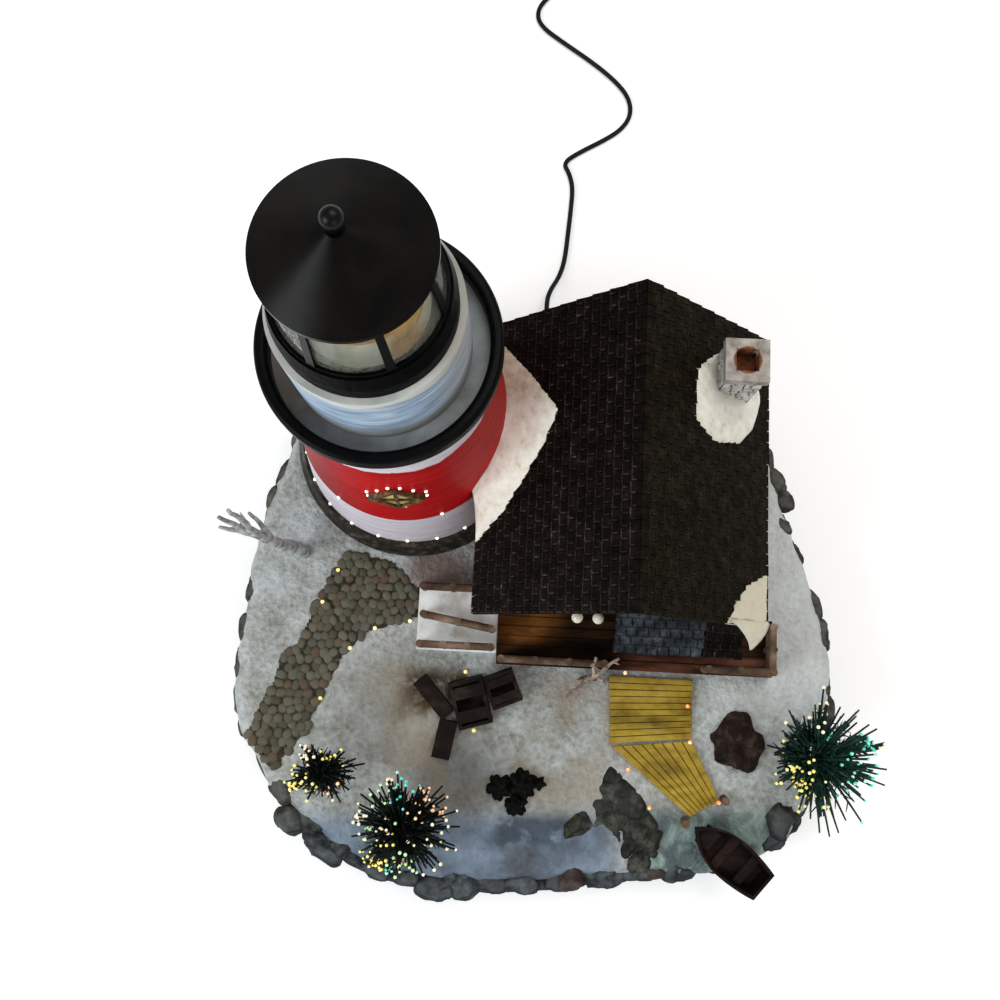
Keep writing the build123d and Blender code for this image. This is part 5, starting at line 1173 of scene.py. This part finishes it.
chimneySettings = {
    "x": 42 * mm, "y": 38 * mm, "half": 7.7 * mm, "low": 108 * mm, "capZ": 145 * mm, "courses": 10,
    "perFace": 4, "gap": 0.5 * mm, "proud": (0.35, 0.85), "flue": (6.0, 5.2), "shrink": 0.35 * mm,
    "uneven": 0.25, "bond": 0.3,
}
random.seed(31)
stones = Shape()
courseHeight = (chimneySettings["capZ"] - chimneySettings["low"]) / chimneySettings["courses"]
faceWidth = 2 * chimneySettings["half"]
for face in range(4):
    turn = face * pi / 2
    outward = Vector((cos(turn), sin(turn), 0))
    along = Vector((-sin(turn), cos(turn), 0))
    for course in range(chimneySettings["courses"]):
        cuts = [0.0]
        for k in range(1, chimneySettings["perFace"]):
            stray = random.uniform(-1, 1) * chimneySettings["uneven"]
            stray += (course % 2) * chimneySettings["bond"]
            cuts.append((k + stray) / chimneySettings["perFace"])
        cuts.append(1.0)
        z0 = chimneySettings["low"] + course * courseHeight + chimneySettings["gap"] / 2
        z1 = z0 + courseHeight - chimneySettings["gap"]
        for first, second in zip(cuts, cuts[1:]):
            u0 = (first - 0.5) * faceWidth + chimneySettings["gap"] / 2
            u1 = (second - 0.5) * faceWidth - chimneySettings["gap"] / 2
            proud = random.uniform(*chimneySettings["proud"]) * mm
            foot = []
            head = []
            for u, z in ((u0, z0), (u1, z0), (u1, z1), (u0, z1)):
                for corners, out, shrink in ((foot, 0.0, 0.0), (head, proud, chimneySettings["shrink"])):
                    pull = shrink if u == u0 else -shrink
                    rise = shrink if z == z0 else -shrink
                    spot = outward * (chimneySettings["half"] + out) + along * (u + pull)
                    spot += Vector((chimneySettings["x"], chimneySettings["y"], z + rise))
                    corners.append(houseSpot(*spot))
            stones.block(foot, head)
chimneyStone = Paint("chimneyStone")
chimneyStone.use(
    color=chimneyStone.ramp(chimneyStone.grain(260.0, detail=4.0), [
        (0.3, 134, 133, 128), (0.5, 186, 185, 180), (0.7, 226, 225, 220),
    ]), rough=0.6, shine=0.3, normal=chimneyStone.bump(chimneyStone.grain(400.0), 0.0008, 0.6),
)
stones.piece("chimneyStones", chimneyStone, "brick", smooth=False)
mortarPaint = Paint("chimneyMortar")
height = mortarPaint.along("Z")
sooty = mortarPaint.step(mortarPaint.grain(300.0), 0.2, 0.8)
capTone = mortarPaint.ramp(mortarPaint.grain(200.0), [(0.3, 128, 120, 112), (0.7, 190, 182, 174)])
mortarTone = mortarPaint.mix(sooty, tone(30, 28, 25), tone(62, 58, 52))
flueSpot = houseSpot(chimneySettings["x"], chimneySettings["y"], 0) / mm
flueFar, flueNear = chimneySettings["flue"]
inside = mortarPaint.near(flueSpot.x, flueSpot.y, flueNear, flueFar)
# The flue's inside has its own reddish colour, painted darker for the shade down the flue.
flueTone = mortarPaint.mix(sooty, tone(72, 38, 20), tone(150, 92, 58))
isCap = mortarPaint.step(height, chimneySettings["capZ"] - 0.1 * mm, chimneySettings["capZ"] + 0.2 * mm)
mortarColor = mortarPaint.mix(isCap, mortarTone, capTone)
mortarColor = mortarPaint.mix(inside, mortarColor, flueTone)
mortarPaint.use(color=mortarColor, rough=0.75, shine=0.15, normal=mortarPaint.bump(sooty, 0.001, 0.6))
coat(mortarPaint, "chimney")
globePaint = Paint("globes")
globeTone = globePaint.ramp(globePaint.grain(300.0), [(0.3, 214, 206, 186), (0.7, 250, 246, 236)])
globePaint.use(color=globeTone, rough=0.2)
coat(globePaint, "porch_lamps")
print("stage: house")

# Snow lying on the roof and banked against the tower
driftSettings = {
    "chimney": [(23, 37), (23, 15), (33, 8.5), (46, 11.5), (53.5, 20), (57.5, 33), (55, 47), (34, 48)],
    "corner": [(62.3, -40), (50, -47), (45, -54), (40, -63.9), (62.3, -63.9)],
    "valley": [
        (-62.3, -34), (-51, -21.5), (-43, -8.5), (-35, 6), (-30, 19), (-42, 37), (-53, 52), (-58, 63),
        (-62.3, 63),
    ],
    "step": 0.8 * mm, "deep": 2.6 * mm, "soft": 1.6 * mm, "lump": 0.8 * mm, "lumpSize": 6 * mm,
    "bank": 5.0 * mm, "bankSize": 7 * mm, "tuck": 1.5 * mm, "rest": 0.15 * mm, "least": 0.1 * mm,
    "flap": {
        "left": (39, -61.4), "right": (62.3, -60.8), "tip": (58.6, -73.6, 87), "cuts": 14,
        "lift": 2.4 * mm, "swell": 1.4 * mm, "lumps": 0.5, "lean": (0, -0.5, 0.8), "droop": 2.0,
        "thick": 5 * mm,
    },
}


def snowLift(x, y, depth):
    settings = driftSettings
    bare = onRoof(x, y, 0)
    if not clearOfTower(bare, -settings["tuck"]):
        return None
    height = settings["deep"] * (1 - exp(-depth / settings["soft"])) + settings["rest"]
    inward = min(1.0, depth / settings["soft"])
    height += settings["lump"] * wobble((x, y, 0.2), settings["lumpSize"]) * inward
    if x < 0:
        gap = hypot(bare.x - towerSettings["x"], bare.y - towerSettings["y"]) - towerRadius(bare.z)
        height += settings["bank"] * exp(-max(0.0, gap) / settings["bankSize"])
    return onRoof(x, y, max(settings["least"], height))


roofSnow = Shape()
for key in ("chimney", "corner"):
    roofSnow.sheet(scaled(driftSettings[key]), driftSettings["step"], snowLift)
flap = driftSettings["flap"]
flapLeft, flapRight = (onRoof(x, y, flap["lift"]) for x, y in scaled([flap["left"], flap["right"]]))
flapTip = houseSpot(*(value * mm for value in flap["tip"]))
flapRows = []
flapPoints = []
flapDrops = []
for i in range(flap["cuts"] + 1):
    down = i / flap["cuts"]
    flapRows.append(len(flapPoints))
    for k in range(flap["cuts"] - i + 1):
        side = k / max(1, flap["cuts"] - i)
        top = flapLeft.lerp(flapRight, side)
        spot = top.lerp(flapTip, down)
        spot.z = top.z + (flapTip.z - top.z) * down ** flap["droop"]
        bulge = flap["swell"] * (sin(pi * down) + wobble(spot, driftSettings["lumpSize"]) * flap["lumps"])
        flapPoints.append(spot + Vector(flap["lean"]) * bulge)
        inside = i > 0 and 0 < k < flap["cuts"] - i
        flapDrops.append(flap["thick"] * sin(pi * side) * sin(pi * down) if inside else 0)
flapFaces = []
for i in range(flap["cuts"]):
    for k in range(flap["cuts"] - i):
        first = flapRows[i] + k
        below = flapRows[i + 1] + k
        flapFaces.append((first, below, first + 1))
        if k < flap["cuts"] - i - 1:
            flapFaces.append((first + 1, below, below + 1))
# The underside shares the edge, and the three corners that have no inside point are left off
lowered = {}
for index, drop in enumerate(flapDrops):
    if drop:
        lowered[index] = len(flapPoints)
        flapPoints.append(flapPoints[index] - Vector((0, 0, drop)))
flapFaces = [face for face in flapFaces if any(v in lowered for v in face)]
flapFaces += [tuple(lowered.get(v, v) for v in reversed(face)) for face in flapFaces]
roofSnow.add(flapPoints, flapFaces)
drift = Shape()
drift.sheet(scaled(driftSettings["valley"]), driftSettings["step"], snowLift)
creamPaint = Paint("roofSnow")
crumb = creamPaint.grain(260.0, detail=4.0)
creamTone = creamPaint.ramp(crumb, [(0.24, 200, 192, 172), (0.42, 226, 222, 208), (0.7, 240, 239, 231)])
# Roof snow next to the tower is turned tan: painted shade beside the tower.
paintedTowerShade = creamPaint.step(creamPaint.along("Y"), 0.066, 0.082)
paintedTowerShade = paintedTowerShade * creamPaint.step(creamPaint.along("X"), 0.03, 0.01)
creamTone = creamPaint.mix(creamPaint.near(91, -10, 8, 24) * 0.75, creamTone, tone(204, 194, 168))
creamPaint.use(
    color=creamPaint.mix(paintedTowerShade * (0.9 - crumb * 0.5), creamTone, tone(146, 116, 88)),
    rough=0.7, shine=0.15, normal=creamPaint.bump(crumb, 0.001, 0.6),
)
roofSnow.piece("roofSnow", creamPaint, "snow", replaced=("roof_snow",))
drift.piece("towerDrift", creamPaint, "snow", replaced=("tower_drift",))
print("stage: snow")

# Plants: bare twigs, leaves and fibre trees
twigSettings = {
    "tree": [
        ((-110, 20, 0), (-117.8, 21, 30), 3.4, 2.6), ((-117.8, 21, 30), (-122.5, 22.5, 41), 2.6, 2.0),
        ((-122.5, 22.5, 41), (-130.2, 30.2, 65), 2.0, 0.9),
        ((-122.5, 22.5, 41), (-134.8, 27.5, 63), 1.8, 0.9),
        ((-122.5, 22.5, 41), (-136.5, 24.3, 55), 1.8, 0.8), ((-117.8, 21, 30), (-124.5, 31, 52), 1.6, 0.8),
    ],
    "shrub": [
        ((27, -40.2, 0), (27.2, -39.8, 22.5), 1.2, 0.9), ((27.2, -39.8, 22.5), (28, -31, 29), 0.9, 0.6),
        ((27.2, -39.8, 22.5), (38.5, -31.5, 28), 0.9, 0.6), ((27, -40.2, 0), (15.2, -49.5, 7), 1.0, 0.6),
        ((27, -40.2, 0), (20.3, -41.5, 10), 1.0, 0.6), ((27, -40.2, 0), (33.8, -41.5, 8), 1.0, 0.6),
    ],
    "cuts": 9, "bend": 1.44, "bendSize": 5 * mm, "sprigBelow": 2.5, "sprigAt": 4, "sprigReach": (4, 7),
    "shrubSprigsAt": (5, 7), "shrubReach": 4 * mm,
}


def addTwig(shape, start, end, first, second, settings):
    a = Vector(start) * mm
    b = Vector(end) * mm
    a.z += groundAt(a.x, a.y)
    b.z += groundAt(start[0] * mm, start[1] * mm)
    cuts = settings["cuts"]
    points = []
    for i in range(cuts + 1):
        t = i / cuts
        sway = settings["bend"] * mm * sin(pi * t)
        spot = a.lerp(b, t)
        aside = wobble(spot + Vector((1, 0, 0)), settings["bendSize"])
        spot += Vector((wobble(spot, settings["bendSize"]), aside, 0)) * sway
        points.append(spot)
    shape.tube(points, [(first + (second - first) * i / cuts) * mm for i in range(cuts + 1)], 8)
    return points


random.seed(5)
tree = Shape()
for start, end, first, second in twigSettings["tree"]:
    points = addTwig(tree, start, end, first, second, twigSettings)
    if first < twigSettings["sprigBelow"]:
        spot = points[twigSettings["sprigAt"]]
        way = Vector((random.uniform(-1, 0.4), random.uniform(-0.7, 0.9), random.uniform(0.1, 0.9)))
        way.normalize()
        reach = random.uniform(*twigSettings["sprigReach"]) * mm
        tree.tube([spot, spot + way * reach * 0.6, spot + (way + Vector((0, 0, 0.3))) * reach],
                  [0.8 * mm, 0.6 * mm, 0.35 * mm], 6)
shrub = Shape()
for start, end, first, second in twigSettings["shrub"]:
    points = addTwig(shrub, start, end, first, second, twigSettings)
    for at in twigSettings["shrubSprigsAt"]:
        spot = points[at]
        way = Vector((random.uniform(-1, 1), random.uniform(-0.6, 0.2), random.uniform(0.3, 1)))
        way.normalize()
        shrub.tube([spot, spot + way * twigSettings["shrubReach"]], [0.55 * mm, 0.3 * mm], 5)


def twigPaint(name, dark, pale):
    return mottledPaint(name, 320.0, [(0.32, *dark), (0.62, *pale)], 0.0009, 0.8, 0.8)


tree.piece("frostedTree", twigPaint("frostBark", (116, 117, 118), (188, 191, 194)), "twig",
           replaced=("twig_tree",))
shrub.piece("bareShrub", twigPaint("shrubBark", (112, 92, 78), (184, 164, 148)), "twig",
            replaced=("twig_shrub",))

leafSettings = {
    "place": (-8, -92), "lobes": [(-7.6, 1, 5.6), (3.0, 2.3, 6.5), (11.2, 2.8, 3.2), (0.3, -7, 5.1)],
    "layers": [(0.35, 1.0), (0.75, 0.92), (1.05, 0.75), (1.3, 0.5)], "lobeCount": 5, "sides": 40,
    "rings": 6, "wave": 0.2, "ripple": 0.04, "rippleCount": 11, "vein": 0.06, "droop": 0.3,
}


def addLeaf(shape, centre, radius, turn, settings):
    points = [centre]
    for i in range(1, settings["rings"] + 1):
        share = i / settings["rings"]
        for k in range(settings["sides"]):
            angle = 2 * pi * k / settings["sides"]
            lobe = cos(settings["lobeCount"] * angle + turn)
            ripple = cos(settings["rippleCount"] * angle + 2 * turn)
            wave = settings["wave"] * lobe + settings["ripple"] * ripple
            reach = radius * share * (1 + wave * share)
            droop = radius * (settings["vein"] * lobe * share - settings["droop"] * share ** 2)
            points.append(centre + Vector((reach * cos(angle), reach * sin(angle), droop)))
    shape.add(points, discFaces(settings["rings"], settings["sides"]))


random.seed(3)
leaves = Shape()
for dx, dy, radius in leafSettings["lobes"]:
    x = (leafSettings["place"][0] + dx) * mm
    y = (leafSettings["place"][1] + dy) * mm
    for rise, share in leafSettings["layers"]:
        centre = Vector((x, y, groundAt(x, y) + rise * radius * mm))
        addLeaf(leaves, centre, radius * share * mm, random.uniform(0, 2 * pi), leafSettings)
leafPaint = mottledPaint("darkLeaves", 260.0, [
    (0.3, 2, 3, 2), (0.55, 8, 11, 7), (0.75, 30, 36, 27),
], 0.0006, 0.6, 0.5, shine=0.06)
leaves.piece("ivyShrub", leafPaint, "leaf", replaced=("leaf_shrub",))

strandSettings = {
    "trunk": 2.0, "root": 0.75, "tip": 0.42, "cuts": 4, "droop": 0.06, "rise": (-0.06, 0.98),
    "reach": (0.72, 1.02), "shrink": 0.22, "bareReach": 1.05, "from": (0.5, 0.95), "bead": (0.58, 0.86),
    "sprigs": 9, "sprig": (2.8, 5.0), "sprigThick": 0.32, "sprigSpread": (28, 60), "sectors": 8,
    "clump": 0.4, "clumpSize": 0.55, "clumpMost": 1.04, "core": 0.7, "coreReach": (0.3, 0.56),
    "sprigFrom": 0.08, "sprigOver": 0.62, "looseFrom": 0.6, "clusterFrom": 0.7, "sunk": 1 * mm,
}
treeSettings = {
    "rightTree": {
        "node": "fibre_tree_right", "place": (125, -75.5), "trunk": 34, "reach": 31, "strands": 170,
        "seed": 21,
        "tips": [
            ("teal", 0.7, 1.0), ("teal", 0.1, 1.0), ("cream", 0.3, 0.78), ("cream", 0.1, 0.68),
            ("gold", 0.15, 0.6), ("gold", 0.6, 0.64), ("gold", 0.5, 0.85), ("teal", 0.5, 1.0),
        ],
        "loose": [(11.5, -33, 20), (8, -35, 18), (3, -33, 20), (22, 20, 22)],
        "clusters": [
            (23.5, 6.5, 27, 3.4, 30, "teal"), (22.5, -8.5, 22, 4, 14, "teal"), (5, 9, 32, 4, 9, "teal"),
            (-9.5, -4, 30, 3.2, 12, "gold"), (-5, -10, 28, 4, 18, "gold"), (0, -17, 24, 3.4, 12, "gold"),
            (8.5, -18.5, 20, 3, 6, "gold"), (-12.8, 6.7, 26, 1.8, 4, "gold"), (5.4, 22, 24, 4, 8, "cream"),
            (32, 5, 23, 2.5, 7, "cream"),
        ],
    },
    "centreTree": {
        "node": "fibre_tree_centre", "place": (-58.6, -106.2), "trunk": 31, "reach": 26, "strands": 125,
        "seed": 22,
        "tips": [
            ("cream", 0.4, 1.0), ("peach", 0.9, 0.95), ("teal", 0.6, 0.95), ("lime", 0.6, 0.9),
            ("cream", 0.8, 0.95), ("gold", 1.0, 0.95), ("lime", 0.7, 0.9), ("cream", 0.4, 1.0),
        ],
        "loose": [(25.5, 0, 22), (23, -9, 18), (14, -18, 16), (-20, 14, 20)],
        "clusters": [
            (-13.5, -15, 16, 4.5, 24, "gold"), (-17, -3, 19, 2.5, 7, "lime"), (8, 12, 26, 4.5, 12, "peach"),
            (-7, 19, 22, 3, 8, "cream"), (-20.5, 4, 20, 2.5, 7, "cream"), (-2, -15, 18, 3, 10, "gold"),
            (8, -8, 24, 3, 8, "cream"), (-4, 3, 31, 5.5, 12, "cream"), (17.5, 6.5, 20, 3, 7, "peach"),
            (-7, -20, 14, 3, 8, "teal"),
        ],
    },
    "leftTree": {
        "node": "fibre_tree_left", "place": (-96, -82.6), "trunk": 19, "reach": 15.5, "strands": 70,
        "seed": 23,
        "tips": [
            ("gold", 0.2, 1.1), ("gold", 0.5, 0.95), ("gold", 0.4, 0.75), ("cream", 0.7, 0.95),
            ("gold", 0.9, 1.1), ("gold", 0.9, 1.0), ("peach", 0.6, 0.85), ("peach", 0.2, 0.95),
        ],
        "loose": [],
        "clusters": [
            (-14, -6, 12, 3.4, 24, "gold"), (4, 6, 17, 3, 12, "gold"), (-10, 8, 15, 3, 8, "cream"),
            (0.5, -7, 15, 2.6, 7, "peach"),
        ],
    },
}
tipHues = {
    "gold": tone(236, 222, 112), "cream": tone(238, 226, 192), "lime": tone(180, 232, 166),
    "teal": tone(72, 208, 186), "peach": tone(244, 196, 152),
}
tips = {hue: Shape() for hue in tipHues}
goldenTurn = pi * (3 - sqrt(5))


def addStrand(shape, root, end, settings):
    cuts = settings["cuts"]
    length = (end - root).length
    line = []
    for i in range(cuts + 1):
        t = i / cuts
        lift = Vector((0, 0, settings["droop"] * length * 4 * t * (1 - t)))
        line.append(root.lerp(end, t) + lift)
    slim = (settings["tip"] - settings["root"]) / cuts
    thick = [(settings["root"] + slim * i) * mm for i in range(cuts + 1)]
    shape.tube(line, thick, 5)
    way = (end - root).normalized()
    aside = way.cross(Vector((0.1, 0.2, 1))).normalized()
    above = aside.cross(way)
    for k in range(settings["sprigs"]):
        share = (k + random.random()) / settings["sprigs"]
        spot = root.lerp(end, settings["sprigFrom"] + settings["sprigOver"] * share)
        spin = k * goldenTurn
        lean = radians(random.uniform(*settings["sprigSpread"]))
        out = way * cos(lean) + (aside * cos(spin) + above * sin(spin)) * sin(lean)
        reach = random.uniform(*settings["sprig"]) * mm
        wide = settings["sprigThick"] * mm
        shape.tube([spot, spot + out * reach * 0.6, spot + out * reach], [wide, wide * 0.9, wide * 0.4], 4)


def addFibreTree(name, settings, strand):
    random.seed(settings["seed"])
    needles = Shape()
    x, y = (value * mm for value in settings["place"])
    foot = Vector((x, y, groundAt(x, y)))
    head = foot + Vector((0, 0, settings["trunk"] * mm))
    trunk = strand["trunk"] * mm
    needles.tube([foot - Vector((0, 0, strand["sunk"])), foot.lerp(head, 0.5), head],
                 [trunk, trunk * 0.8, trunk * 0.5], 10)
    low, high = strand["rise"]
    for k in range(settings["strands"]):
        turn = k * goldenTurn + random.uniform(-0.2, 0.2)
        climb = low + (high - low) * (k + 0.5) / settings["strands"]
        flat = sqrt(1 - climb * climb)
        sector = int((turn / (2 * pi) + 0.5 / strand["sectors"]) % 1 * strand["sectors"])
        hue, share, stretch = settings["tips"][sector]
        lit = random.random() < share
        way = Vector((cos(turn) * flat, sin(turn) * flat, climb))
        length = settings["reach"] * mm * random.uniform(*strand["reach"]) * (1 - strand["shrink"] * climb)
        clump = strand["clump"] * wobble(way + Vector((x, y, 0)) / mm, strand["clumpSize"])
        length *= stretch * min(strand["clumpMost"], 1 + clump)
        if not lit:
            length *= strand["bareReach"]
        root = foot.lerp(head, random.uniform(*strand["from"]))
        end = root + way * length
        addStrand(needles, root, end, strand)
        if lit:
            tips[hue].bead(end, random.uniform(*strand["bead"]) * mm, 5, 8)
    for k in range(int(settings["strands"] * strand["core"])):
        turn = random.uniform(0, 2 * pi)
        climb = random.uniform(low, high)
        flat = sqrt(1 - climb * climb)
        root = foot.lerp(head, random.uniform(*strand["from"]))
        length = settings["reach"] * mm * random.uniform(*strand["coreReach"])
        way = Vector((cos(turn) * flat, sin(turn) * flat, climb))
        addStrand(needles, root, root + way * length, strand)
    for spot in settings["loose"]:
        addStrand(needles, foot.lerp(head, strand["looseFrom"]), foot + Vector(spot) * mm, strand)
    for dx, dy, dz, spread, count, hue in settings["clusters"]:
        for k in range(count):
            stray = Vector((random.gauss(0, 1), random.gauss(0, 1), random.gauss(0, 0.6))) * spread * 0.5
            end = foot + (Vector((dx, dy, dz)) + stray) * mm
            addStrand(needles, foot.lerp(head, strand["clusterFrom"]), end, strand)
            tips[hue].bead(end, random.uniform(*strand["bead"]) * mm, 5, 8)
    needles.piece(name + "Needles", needlePaint, "needle", replaced=(settings["node"],))


needlePaint = Paint("darkNeedles")
needleTone = needlePaint.grain(240.0)
needleDark = needlePaint.ramp(needleTone, [(0.3, 3, 6, 4), (0.55, 9, 18, 13), (0.75, 24, 38, 31)])
needleTeal = needlePaint.ramp(needleTone, [(0.3, 9, 26, 20), (0.55, 24, 54, 44), (0.75, 54, 90, 78)])
paler = needlePaint.step(needlePaint.along("X"), 0.09, 0.13)
needlePaint.use(
    color=needlePaint.mix(paler, needleDark, needleTeal), rough=0.45, shine=0.1,
    normal=needlePaint.bump(needleTone, 0.0003, 0.5),
)


def tipPaint(name, hue, power):
    paint = Paint(name)
    lit = paint.mix(paint.step(paint.grain(420.0, detail=1.0), 0.5, 0.68) * 0.5, hue, tone(255, 250, 236))
    return paint.use(color=lit, glow=lit, power=power, rough=0.3)


for name, settings in treeSettings.items():
    addFibreTree(name, settings, strandSettings)
for hue, color in tipHues.items():
    tips[hue].piece(hue + "TreeTips", tipPaint(hue + "Tips", color, 0.5), "fibre")
print("stage: plants")

# Lit fibre ends in the tower, the path and the boardwalk
lightPointSettings = {
    "towerFoot": {"z": 60.0, "from": -170, "to": -12, "every": 15.5, "size": 0.85},
    "towerRed": {"z": 96.2, "turns": (-128, -70, -44), "size": 0.8},
    "window": {"z": 130, "half": 14.5, "perSide": 3, "size": 0.75},
    "proud": 0.1 * mm,
}
groundPointSettings = {
    "path": {
        "paint": ("pathTips", tone(255, 226, 120), 0.9), "lift": 1.4 * mm, "size": 0.95 * mm,
        "places": [
            (-100.5, -4.3), (-93.4, 11.0), (-100.3, -49.7), (-58.3, -13.5), (-75.0, -16.9), (-86.7, -26.3),
            (-27.6, -64.8), (-31.5, -37.5),
        ],
    },
    "walk": {
        "paint": ("amberTips", tone(255, 128, 48), 1.2), "lift": 2.6 * mm, "size": 0.95 * mm,
        "places": [
            (44.0, -38.0), (73.4, -53.6), (74.4, -70.2), (45.1, -83.1), (55.0, -100.4), (87.5, -98.2),
        ],
    },
}


def onTower(turn, z):
    radius = towerRadius(z) + lightPointSettings["proud"]
    return Vector((towerSettings["x"] + radius * cos(turn), towerSettings["y"] + radius * sin(turn), z))


towerTips = Shape()
ring = lightPointSettings["towerFoot"]
turn = ring["from"]
while turn < ring["to"]:
    towerTips.bead(onTower(radians(turn), ring["z"] * mm), ring["size"] * mm)
    turn += ring["every"]
ring = lightPointSettings["towerRed"]
for turn in ring["turns"]:
    towerTips.bead(onTower(radians(turn), ring["z"] * mm), ring["size"] * mm)
ring = lightPointSettings["window"]
for side in range(4):
    for k in range(ring["perSide"]):
        share = (k + 0.5) / ring["perSide"]
        first = Vector((cos(side * pi / 2), sin(side * pi / 2)))
        second = Vector((cos((side + 1) * pi / 2), sin((side + 1) * pi / 2)))
        spot = first.lerp(second, share) * ring["half"] * mm
        z = ring["z"] * mm + spot.y
        towerTips.bead(onTower(-pi / 2 + spot.x / towerRadius(z), z), ring["size"] * mm)
whiteTips = tipPaint("whiteTips", tone(255, 246, 230), 1.4)
towerTips.piece("towerLightPoints", whiteTips, "fibre")

for name, settings in groundPointSettings.items():
    groundTips = Shape()
    for x, y in scaled(settings["places"]):
        groundTips.bead((x, y, groundAt(x, y) + settings["lift"]), settings["size"])
    groundTips.piece(name + "LightPoints", tipPaint(*settings["paint"]), "fibre")
print("stage: light points")


# Pieces that are hidden from the photo's side
def plainPaint(name, dark, pale, rough, scale=200.0, metal=0.0):
    return mottledPaint(name, scale, [(0.3, *dark), (0.7, *pale)], 0.0003, 0.5, rough, 0.1, metal=metal)


coat(plainPaint("mouldedBlack", (18, 18, 19), (34, 34, 36), 0.5, 700.0),
     "bottom_cover", "bulb_hatch", "strain_relief", "plug_adapter", "cord_tie")
coat(plainPaint("footRubber", (14, 14, 14), (30, 30, 30), 0.8), "rubber_feet")
coat(plainPaint("switchPlastic", (10, 10, 11), (24, 24, 26), 0.25), "switch_body", "switch_rocker")
coat(plainPaint("zincSteel", (150, 150, 152), (196, 196, 196), 0.3, metal=1.0),
     "cover_screws", "wheel_shaft")
coat(plainPaint("lampHolder", (206, 202, 190), (232, 228, 216), 0.4), "lamp_socket")
coat(plainPaint("lampGlass", (226, 226, 214), (250, 250, 240), 0.1), "lamp_bulb", "beacon_lamp")
coat(plainPaint("motorCan", (120, 120, 124), (168, 168, 172), 0.35, metal=0.8),
     "gear_motor", "beacon_motor")
coat(plainPaint("ferruleMetal", (160, 160, 164), (204, 204, 206), 0.3, metal=1.0), "fibre_ferrule")
coat(plainPaint("clearFibre", (190, 204, 214), (232, 240, 246), 0.15), "tower_fibres", "tree_fibres")
coat(plainPaint("redWire", (96, 10, 12), (140, 20, 22), 0.45), "inner_wires")
coat(plainPaint("nickelBlades", (170, 164, 146), (214, 208, 190), 0.25, metal=1.0), "plug_blades")
wheelSettings = {
    "x": -18 * mm, "y": 75 * mm, "blend": 0.004,
    "tones": [
        (200, 30, 40), (230, 190, 40), (50, 170, 90), (40, 90, 200), (150, 60, 170), (225, 228, 232),
    ],
}
wheelPaint = Paint("colourWheel")
wheelAngle = wheelPaint.node("Math", {
    0: wheelPaint.along("Y") - wheelSettings["y"], 1: wheelPaint.along("X") - wheelSettings["x"],
}, "Value", operation="ARCTAN2")
wedges = []
wedge = 1 / len(wheelSettings["tones"])
for k, hue in enumerate(wheelSettings["tones"]):
    wedges += [(k * wedge + wheelSettings["blend"], *hue), ((k + 1) * wedge - wheelSettings["blend"], *hue)]
wheelPaint.use(
    color=wheelPaint.ramp(wheelAngle * (0.5 / pi) + 0.5, wedges),
    rough=0.16 + 0.1 * wheelPaint.grain(200.0),
)
coat(wheelPaint, "colour_wheel")
print("stage: hidden pieces")
